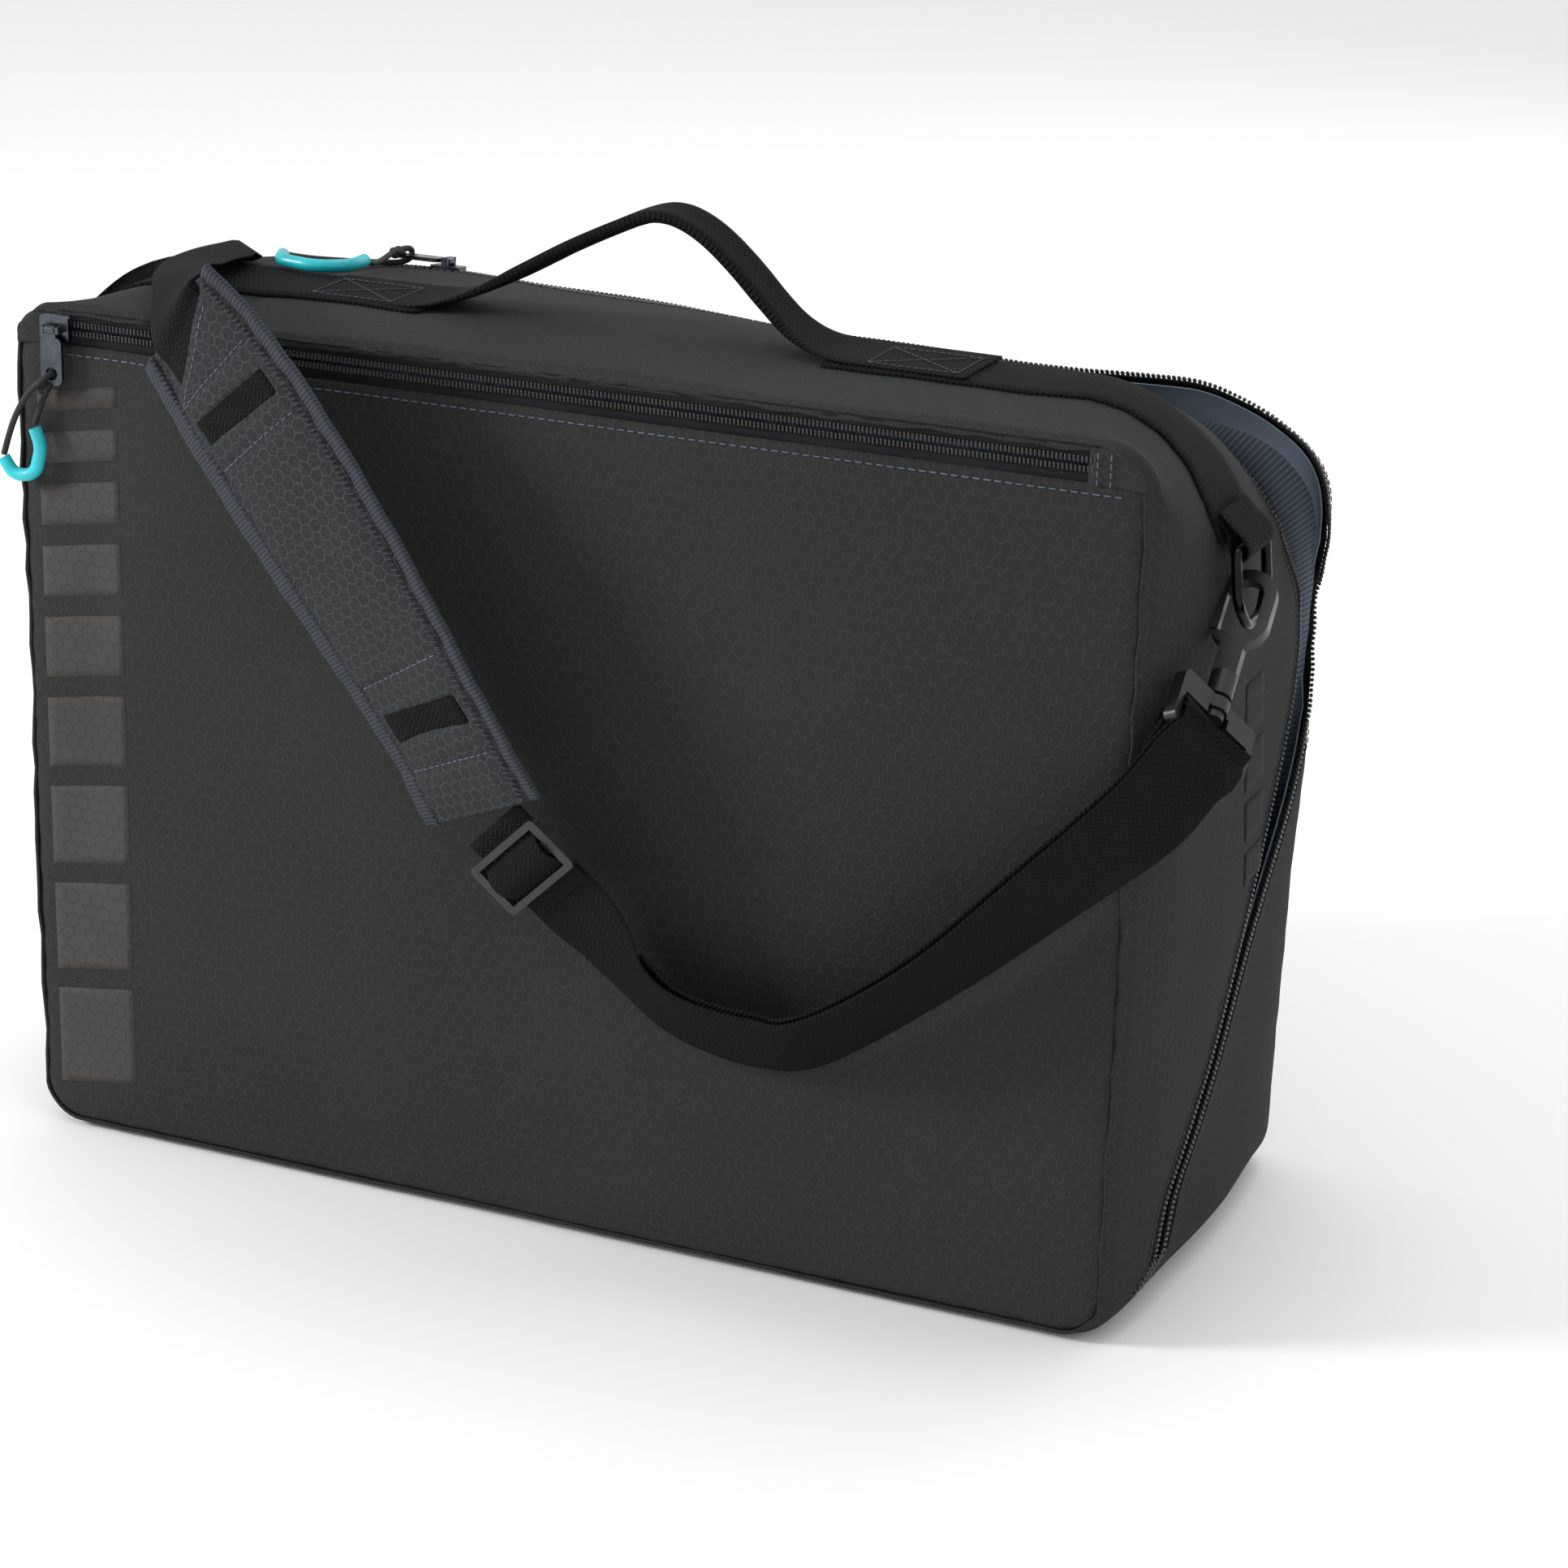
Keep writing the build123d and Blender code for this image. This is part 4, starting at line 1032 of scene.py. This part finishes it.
def edge_ribbon(name, pairs, thick, material):
    """A strap given by its two edges."""
    both = spline([list(a) + list(b) for a, b in pairs], 4.0)
    outer, inner = both[:, :3], both[:, 3:]
    middle = (outer + inner) / 2
    across = unit(inner - outer)
    out = unit(np.cross(across, tangents(middle)))
    half = np.linalg.norm(inner - outer, axis=1) / 2
    return strap_loft(name, middle, across, out, half, np.full(len(half), thick / 2), (0.3, 0.3), material)


def straight_across(line):
    """Across vectors along Y for a strap that runs in a plane of X and Z."""
    return np.tile([0.0, 1.0, 0.0], (len(line), 1))


RING_BAR_X = 250.0
LOOP_WIDTH, LOOP_THICK = 30.5, 1.3
RIGHT_RING_Z, LEFT_RING_Z = 300.0, 205.0
HANDLE_ROUTE = [
    (-137, 352.2), (-118, 352.3), (-98, 352.4), (-84, 353.2), (-74, 355.6), (-62, 360.6), (-47, 369),
    (-27, 380.5), (-8, 390), (4, 395.2), (12, 397), (21, 395.6), (32, 390), (45, 379.5), (57, 368),
    (67, 359.5), (77, 354.7), (88, 352.9), (106, 352.4), (124, 352.3), (143, 352.2),
]
HANDLE_HINGE_X = 3.0
HANDLE_ENDS, HANDLE_ROOT_Z = (-137, 143), 356
HANDLE_BLEND_Z = (0.3535, 0.366)  # m, where the handle's bend starts and ends


def ring_loop(name, side, ring_z, foot, node):
    """The webbing's end, turned round the ring's bar and sewn back at its foot."""
    route = [
        foot, (-3.4, 8.8), (0.8, 5.4), (3.5, 1.7), (3.5, -1.7), (1.2, -3.8), (-1.9, -3.1), (-3.3, 0.3),
        (-5.2, 6.2), (foot[0] - 0.9, foot[1] - 1.8),
    ]
    line = spline([(side * (RING_BAR_X + x), BAND_MIDDLE, ring_z + z) for x, z in route], 1.0)
    assign(ribbon(name, line, straight_across(line), LOOP_WIDTH, LOOP_THICK, WEB), "webbing", node)


def make_handle():
    line = spline([(x, BAND_MIDDLE, z) for x, z in HANDLE_ROUTE], 2.5)
    x = line[:, 0]
    first, last = HANDLE_ENDS
    narrow = smooth_curve([
        (first, 40), (-92, 40), (-70, 27), (-48, 22), (55, 22), (72, 27), (96, 40), (last, 40),
    ])
    fold = smooth_curve([
        (first, 1.3), (-88, 1.4), (-62, 3.6), (-45, 5), (50, 5), (66, 3.6), (90, 1.4), (last, 1.3),
    ])
    above = line[:, 2] - HANDLE_ROOT_Z
    line[:, 1] += 1.2 * np.sin((x + 20) / 40) * np.clip(above / 30, 0, 1)  # a slight sway
    cup = 0.9 * np.clip(above / 20, 0, 1)
    handle = ribbon("handle_webbing", line, straight_across(line), narrow(x), fold(x), WEB, cup=cup)
    start, end = ((HANDLE_HINGE_X * MM, BAND_MIDDLE * MM, z) for z in HANDLE_BLEND_Z)
    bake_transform(handle)
    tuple(start)
    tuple(end)
    assign(handle, "webbing", "carry_handle", "handle_anchors", body=None)


CROSS_Z, CROSS_FRONT, CROSS_BACK = 353.2, -42, -15


def cross_stitch(name, x0, x1):
    """A sewn box with its diagonals, on one end of the handle."""
    corners = [(x0, CROSS_FRONT), (x1, CROSS_FRONT), (x1, CROSS_BACK), (x0, CROSS_BACK)]
    a, b, c, d = (np.array([x, y, CROSS_Z]) for x, y in corners)
    pairs = ((a, b), (b, c), (c, d), (d, a), (a, c), (b, d))
    legs = [beads("leg", np.linspace(p, q, 12), (0, 0, 1), BOX_STITCH, DARK_THREAD) for p, q in pairs]
    assign(joined(name, legs), "webbing")


band_sheet("band_right", *RIGHT_BAND_U, RIGHT_BAND_U[0], "webbing_band_right")
band_sheet("band_left", *LEFT_BAND_U, LEFT_BAND_U[1], "webbing_band_left")
ring_loop("loop_right", 1, RIGHT_RING_Z, (-8.2, 13.5), "ring_loop_right")
ring_loop("loop_left", -1, LEFT_RING_Z, (-6.0, 15.5), "ring_loop_left")
make_handle()
cross_stitch("cross_left", -133, -98)
cross_stitch("cross_right", 103, 139)


# ---- shoulder strap ----
# Each station is a point and a vector across the strap.
PAD_RUN = [
    ((-140, -130, 360), (0.79, -0.33, 0.51)), ((-109, -137, 331), (0.86, -0.18, 0.47)),
    ((-66, -143, 280), (0.87, -0.19, 0.44)), ((-23, -142, 218), (0.70, -0.33, 0.64)),
    ((-7, -138, 188), (0.78, -0.30, 0.52)),
]
AT_HOOK = (-0.45, -0.52, 0.72)  # across the strap where it wraps round the hook frame's bar
RIGHT_RUN = [
    ((-3.4, -137.3, 183.2), (0.76, -0.28, 0.56)), ((29, -131, 152), (0.62, -0.30, 0.72)),
    ((45, -124, 128), (0.45, -0.62, 0.64)), ((66, -121, 112), (0.30, -0.63, 0.71)),
    ((97, -120, 107), (0.25, -0.60, 0.75)), ((124, -121, 114), (0.20, -0.65, 0.71)),
    ((170, -124, 148), (-0.10, -0.78, 0.61)), ((212, -121, 188), (-0.35, -0.70, 0.62)),
    ((241.5, -109, 217), (-0.45, -0.55, 0.70)), ((252.4, -93.5, 233.2), AT_HOOK),
    ((257.6, -86.8, 238.6), AT_HOOK), ((257.2, -81.6, 243.2), AT_HOOK), ((252.6, -80.4, 242.2), AT_HOOK),
    ((249.6, -86.4, 236.2), AT_HOOK), ((246.2, -93.2, 228.8), AT_HOOK),
]
# The two edges of the webbing over the top's left end, outer then inner, from the left hook on.
TOP_EDGES = [
    ((-262.3, -3.5, 297.2), (-262.3, -41, 297.2)), ((-258.8, -3, 311), (-258.8, -41, 311)),
    ((-249, 9, 327), (-249.5, -29, 328)), ((-234, 24, 342), (-235, -13, 344.5)),
    ((-224, 33, 345.5), (-214, -4, 351.5)), ((-217, 35, 346.6), (-197, -3, 352.2)),
    ((-213.5, 36, 347), (-184, -2.5, 352.4)), ((-210.5, 35.5, 349.2), (-178.5, -3, 354.6)),
    ((-212, 32, 351.6), (-180, -6, 356.6)), ((-210, 18, 353.4), (-176.5, -14, 357.6)),
    ((-208, -8, 355.6), (-175.5, -28, 359)), ((-203, -36, 357), (-170, -48, 361.5)),
    ((-188, -70, 359.5), (-155.5, -82, 369)), ((-171, -98, 360), (-141, -109, 373.5)),
]
# In the pad's mouth: along the pad for the outer and inner edge, across it, and above its middle plane.
MOUTH_EDGES = [
    ((-2, -17.5, 3.0), (-2, 20.5, 3.0)), ((9, -18, 2.2), (2, 20, 2.4)), ((20, -18, 2.0), (8, 20, 2.0)),
    ((34, -18, 1.8), (18, 20, 1.8)),
]
STRAP_WIDTH, STRAP_THICK = 38.0, 1.7
PAD_HALF, BINDING_WIDTH = 27.5, 9.0
MOUTH_AT, MOUTH_SLANT = 12.0, 11.0  # where the webbing goes in, and how far the mouth runs across
SLOTS = ((0.195, 10.0), (0.81, 11.0))  # share of the pad's length, and each slot's length
SLOT_HALF, SLOT_SLANT = 20.5, -2.5
PAD_SEAMS = (0.125, 0.265, 0.72, 0.895)  # shares of the pad's length
SEAM_SLANT = 0.4 * SLOT_SLANT
LOOP_TURN = math.pi / 2.6  # the overlock stitches' slant
SECOND_LAYER_GAP = 2.9


def run_curve(stations, step):
    """Smooth centre line and across vectors through the stations."""
    both = spline([list(c) + [60 * v for v in a] for c, a in stations], step)
    return both[:, :3], unit(both[:, 3:])


def pad_frame():
    """The pad's middle line, with the directions across it and away from the bag."""
    line, across = run_curve(PAD_RUN, 2.5)
    ahead = tangents(line)
    across = squared(across, ahead)
    out = np.cross(across, ahead)
    return line, across, out * np.sign(-out[:, 1:2])


def soft_step(value, width):
    """1 where the value is negative and 0 where it is positive."""
    return 1 / (1 + np.exp(value / width))


def pad_crown(a):
    """1 along the pad's middle, falling to 0 at its edges."""
    return np.clip(1 - (np.abs(a) / PAD_HALF) ** 4, 0, 1)


def pad_height(s, a, length):
    """Front surface of the pad above its middle plane, at s along and a across, in millimetres."""
    side, share_across = pad_crown(a), a / PAD_HALF
    ends = np.clip(s / 14, 0, 1) * np.clip((length - s) / 10, 0, 1)
    height = 1.3 + 3.0 * side * (0.55 + 0.45 * np.sqrt(np.clip(ends, 0, 1)))
    height -= 3.2 * soft_step(s - (MOUTH_AT - MOUTH_SLANT * share_across), 0.5) * side
    for share, long in SLOTS:
        middle = share * length - SLOT_SLANT * share_across
        along = soft_step(np.abs(s - middle) - long / 2, 0.35)
        height -= 2.2 * along * soft_step(np.abs(a) - SLOT_HALF, 0.35)
    for share in PAD_SEAMS:
        seam = share * length - SEAM_SLANT * share_across
        height -= 0.7 * np.exp(-(((s - seam) / 2.2) ** 2)) * side
    height += 0.35 * np.sin(s / 9 + a / 11) * side + 0.25 * np.sin(s / 4.1 - a / 7) * side
    return height


def make_pad():
    line, across, out = pad_frame()
    run = distances(line)
    fine = np.arange(0, run[-1] + 0.5, 1.0)
    line, across, out = sample(fine, run, line), unit(sample(fine, run, across)), unit(sample(fine, run, out))
    length = fine[-1]

    def on_pad(s, a, height):
        """Points at s along, a across and a height above the middle plane."""
        base, side, up = (sample(s, fine, v) for v in (line, across, out))
        return base + side * a[..., None] + up * height, up

    a = np.concatenate([
        np.linspace(-PAD_HALF, -SLOT_HALF - 1, 9), np.linspace(-SLOT_HALF, SLOT_HALF, 27),
        np.linspace(SLOT_HALF + 1, PAD_HALF, 9),
    ])
    s = fine[:, None]
    front, _ = on_pad(s, a, pad_height(s, a, length)[..., None])
    rear, _ = on_pad(s, a, (-1.2 - 2.2 * pad_crown(a))[..., None])
    flat = stack(a, s)
    uvs = np.concatenate([flat, flat[:, ::-1]], axis=1)
    pad = loft("pad_cover", np.concatenate([front, rear[:, ::-1]], axis=1), PAD, uvs)
    assign(pad, "pad_fabric", "shoulder_pad", "strap_webbing_under_pad")

    slots = []
    a = np.linspace(-SLOT_HALF - 0.4, SLOT_HALF + 0.4, 12)
    for share, long in SLOTS:
        rows = np.linspace(-long / 2 - 0.6, long / 2 + 0.6, 8)[:, None]
        s = share * length - SLOT_SLANT * a / PAD_HALF + rows
        grid, _ = on_pad(s, a, 2.9)
        slots.append(sheet_mesh("slot", grid, WEB, 0.6, stack(a, s), offset=0.0))
    assign(joined("pad_slot_webbing", slots), "webbing")

    edges, loops = [], []
    for i, way in enumerate((-1, 1)):
        wave = 0.5 * np.sin(fine / 5.3 + i) + 0.3 * np.sin(fine / 2.1)
        centre = line + across * way * (PAD_HALF + 1.6) + out * (0.4 + wave)[:, None] * 0.5
        tilt = unit(across * way + out * (0.28 if way > 0 else -0.1))
        edges.append(ribbon("edge", centre, tilt, BINDING_WIDTH, 3.2, TRIM, out=out))
        inner = line + across * way * (PAD_HALF - 2.2) + out * 2.6
        loops.append(beads("loops", inner, out, PAD_LOOP, TRIM, LOOP_TURN))
    assign(joined("pad_binding", edges), "binding", "pad_edge_binding")
    assign(joined("pad_overlock_stitches", loops), "binding")

    half = PAD_HALF - 4.5
    a = np.linspace(-half, half, 24)
    rows = [(share * length - SEAM_SLANT * a / PAD_HALF, a) for share in PAD_SEAMS]
    a = np.linspace(-half, half * 0.9, 24)
    rows.append((MOUTH_AT - MOUTH_SLANT * a / PAD_HALF + 5, a))
    threads = []
    for s, a in rows:
        s = np.clip(s, 1, length - 1)
        path, up = on_pad(s, a, (pad_height(s, a, length) + 0.12)[:, None])
        threads.append(beads("row", path, up, PAD_STITCH, THREAD))
    assign(joined("pad_stitches", threads), "pad_fabric")


def pad_point(s, a, h):
    """A point in the pad's own directions: along it, across it and outward."""
    line, across, out = pad_frame()
    run = distances(line)
    base, side, up = (sample(np.array(max(s, 0)), run, v) for v in (line, across, out))
    return tuple(base + unit(line[1] - line[0]) * min(s, 0) + side * a + up * h)


GLIDE_AT = np.array([10.2, -134.7, 170.1])
GLIDE_STRAP_WIDTH, GLIDE_STRAP_THICK = 37.0, 1.4
# The tri-glide's directions: across the strap, along it, and outward.
GLIDE_X, GLIDE_Y, GLIDE_Z = (
    unit(np.array(v)) for v in ((0.691, -0.303, 0.656), (-0.713, -0.139, 0.687), (-0.117, -0.943, -0.312))
)
# The webbing's way over the glide's middle bar: along the strap, and outward.
GLIDE_HUMP = (
    (-19, 0.4), (-12, 1.2), (-9.0, 2.6), (-6, 4.6), (-3.4, 6.4), (0, 7.1), (3.4, 6.4), (6, 4.6), (9.0, 2.6),
    (12, 1.5),
)


def make_strap():
    mouth = [(pad_point(*outer), pad_point(*inner)) for outer, inner in MOUTH_EDGES]
    over = edge_ribbon("strap_over_top", TOP_EDGES + mouth, STRAP_THICK, WEB)
    assign(over, "webbing", "strap_webbing_left")
    line, across = run_curve(RIGHT_RUN, 3.0)
    twist = 0.8 * np.sin(np.linspace(0, 9, len(line)))
    long_run = ribbon("strap_long_run", line, across, STRAP_WIDTH, STRAP_THICK, WEB, cup=twist)
    assign(long_run, "webbing", "strap_webbing_right")
    line, across = run_curve(RIGHT_RUN[2:-1], 3.0)
    inward = np.cross(across, tangents(line))
    line = line + inward * np.sign(inward[:, 1:2]) * SECOND_LAYER_GAP
    second = ribbon("strap_second_layer", line, across, STRAP_WIDTH, STRAP_THICK, WEB)
    assign(second, "webbing", "strap_webbing_return")
    path = spline([GLIDE_AT + GLIDE_Y * a + GLIDE_Z * b for a, b in GLIDE_HUMP], 1.2)
    across = np.tile(GLIDE_X, (len(path), 1))
    weave = ribbon("strap_through_glide", path, across, GLIDE_STRAP_WIDTH, GLIDE_STRAP_THICK, WEB)
    assign(weave, "webbing", body="glide")


make_pad()
make_strap()


# ---- prints ----
PRINT_LEFT, PRINT_RIGHT, PRINT_LEAN = -224.0, -187.0, 6.0
END_PRINT_Z, END_PRINT_WIDTH = 150.0, 24.0


def front_patch(name, corners):
    """A thin printed patch on the front panel, from its four corners (x, z)."""
    a, b, c, d = (np.array(p, float) for p in corners)
    t = np.linspace(0, 1, max(3, int(np.linalg.norm(b - a) / 3)))[None, :, None]
    s = np.linspace(0, 1, max(3, int(np.linalg.norm(d - a) / 3)))[:, None, None]
    flat = (a + (b - a) * t) * (1 - s) + (d + (c - d) * t) * s
    return sheet_mesh(name, front_point(flat[..., 0], flat[..., 1], 0.12), INK, 0.1, flat)


def end_points(y, z, lift):
    """Points on the straight part of the right end, lift millimetres outside it."""
    low = low_z(y) + base_round(y)
    high = top_z(y) - top_right(y)
    return surface(2 + np.clip((z - low) / (high - low), 0, 1), y, lift)


def graded(z, count, first, change, gap):
    """The foot and the height of each bar in a column."""
    for i in range(count):
        tall = first + change * i
        yield z, tall
        z += tall + gap


def make_prints():
    """A plain column of graded bars down the left of the front, and a small one on the right end."""
    bars = []
    for z, tall in graded(20.0, 9, 42.0, -4.2, 8.5):
        bars.append(front_patch("bar", [
            (PRINT_LEFT, z), (PRINT_RIGHT, z + PRINT_LEAN), (PRINT_RIGHT, z + tall + PRINT_LEAN),
            (PRINT_LEFT, z + tall),
        ]))
    assign(joined("front_print_bars", bars), "front_fabric")
    bars = []
    for z, tall in graded(END_PRINT_Z, 4, 14.0, 2.5, 5):
        z_line = np.linspace(z, z + tall, 6)[:, None]
        y = np.linspace(0, 1, 8) * END_PRINT_WIDTH + 14 - (z_line - END_PRINT_Z) * 0.16
        grid = end_points(y, z_line, 0.14)
        bars.append(sheet_mesh("end_bar", grid, GLOSS_INK, 0.1, grid[..., 1:], offset=1.0))
    assign(joined("end_print_bars", bars), "shell_fabric")


make_prints()


# ---- stage and light ----
FLOOR_HALF = 4000
# name, place, aim, size and power of each light, in metres and watts
LIGHTS = (
    ("key", (-2.0, -1.25, 1.2), (0, 0, 0.2), 0.6, 42),
    ("fill", (2.2, -1.6, 1.4), (0.1, 0, 0.2), 1.6, 4),
    ("top", (0.2, 0.4, 2.4), (0, 0, 0.2), 1.6, 9),
    ("rear", (0.4, 2.2, 1.4), (0, 0, 0.2), 1.6, 9),
)
WORLD_STRENGTH = 0.8


def make_stage():
    pale = Nodes("pale_floor", 0.9)
    pale.put(pale.shader.inputs["Base Color"], grey(250, 250, 250))
    corners = [(x * FLOOR_HALF, y * FLOOR_HALF, 0) for x, y in ((-1, -1), (1, -1), (1, 1), (-1, 1))]
    new_mesh("floor", corners, [(0, 1, 2, 3)], pale.material)
    world = bpy.data.worlds.new("studio")
    world.use_nodes = True
    background = world.node_tree.nodes["Background"]
    background.inputs[0].default_value = (1, 1, 1, 1)
    background.inputs[1].default_value = WORLD_STRENGTH
    bpy.context.scene.world = world
    bpy.context.scene.view_settings.view_transform = "Standard"
    for name, place, aim, size, power in LIGHTS:
        data = bpy.data.lights.new(name, "AREA")
        data.shape = "DISK"
        data.size = size
        data.energy = power
        light = bpy.data.objects.new(name, data)
        light.location = place
        light.rotation_euler = (Vector(aim) - Vector(place)).to_track_quat("-Z", "Y").to_euler()
        bpy.context.scene.collection.objects.link(light)


make_stage()

# ---- finishes of the CAD pieces that stay ----
SLOT_FINISH = {
    "shell_fabric": SHELL, "front_fabric": FRONT, "lining": LINING, "binding": TRIM, "stiffener": PLASTIC,
    "zip_tape": TAPE, "zip_coil": COIL, "webbing": WEB, "pad_fabric": PAD, "ring_metal": DARK_METAL,
    "slider_metal": GUNMETAL, "black_plastic": PLASTIC, "cord": CORD, "grip": RUBBER,
}
for part in frame["record"]["subparts"]:
    mesh = nodes[part["node"]].data
    mesh.materials.clear()
    mesh.materials.append(SLOT_FINISH[part["material_slot"]])
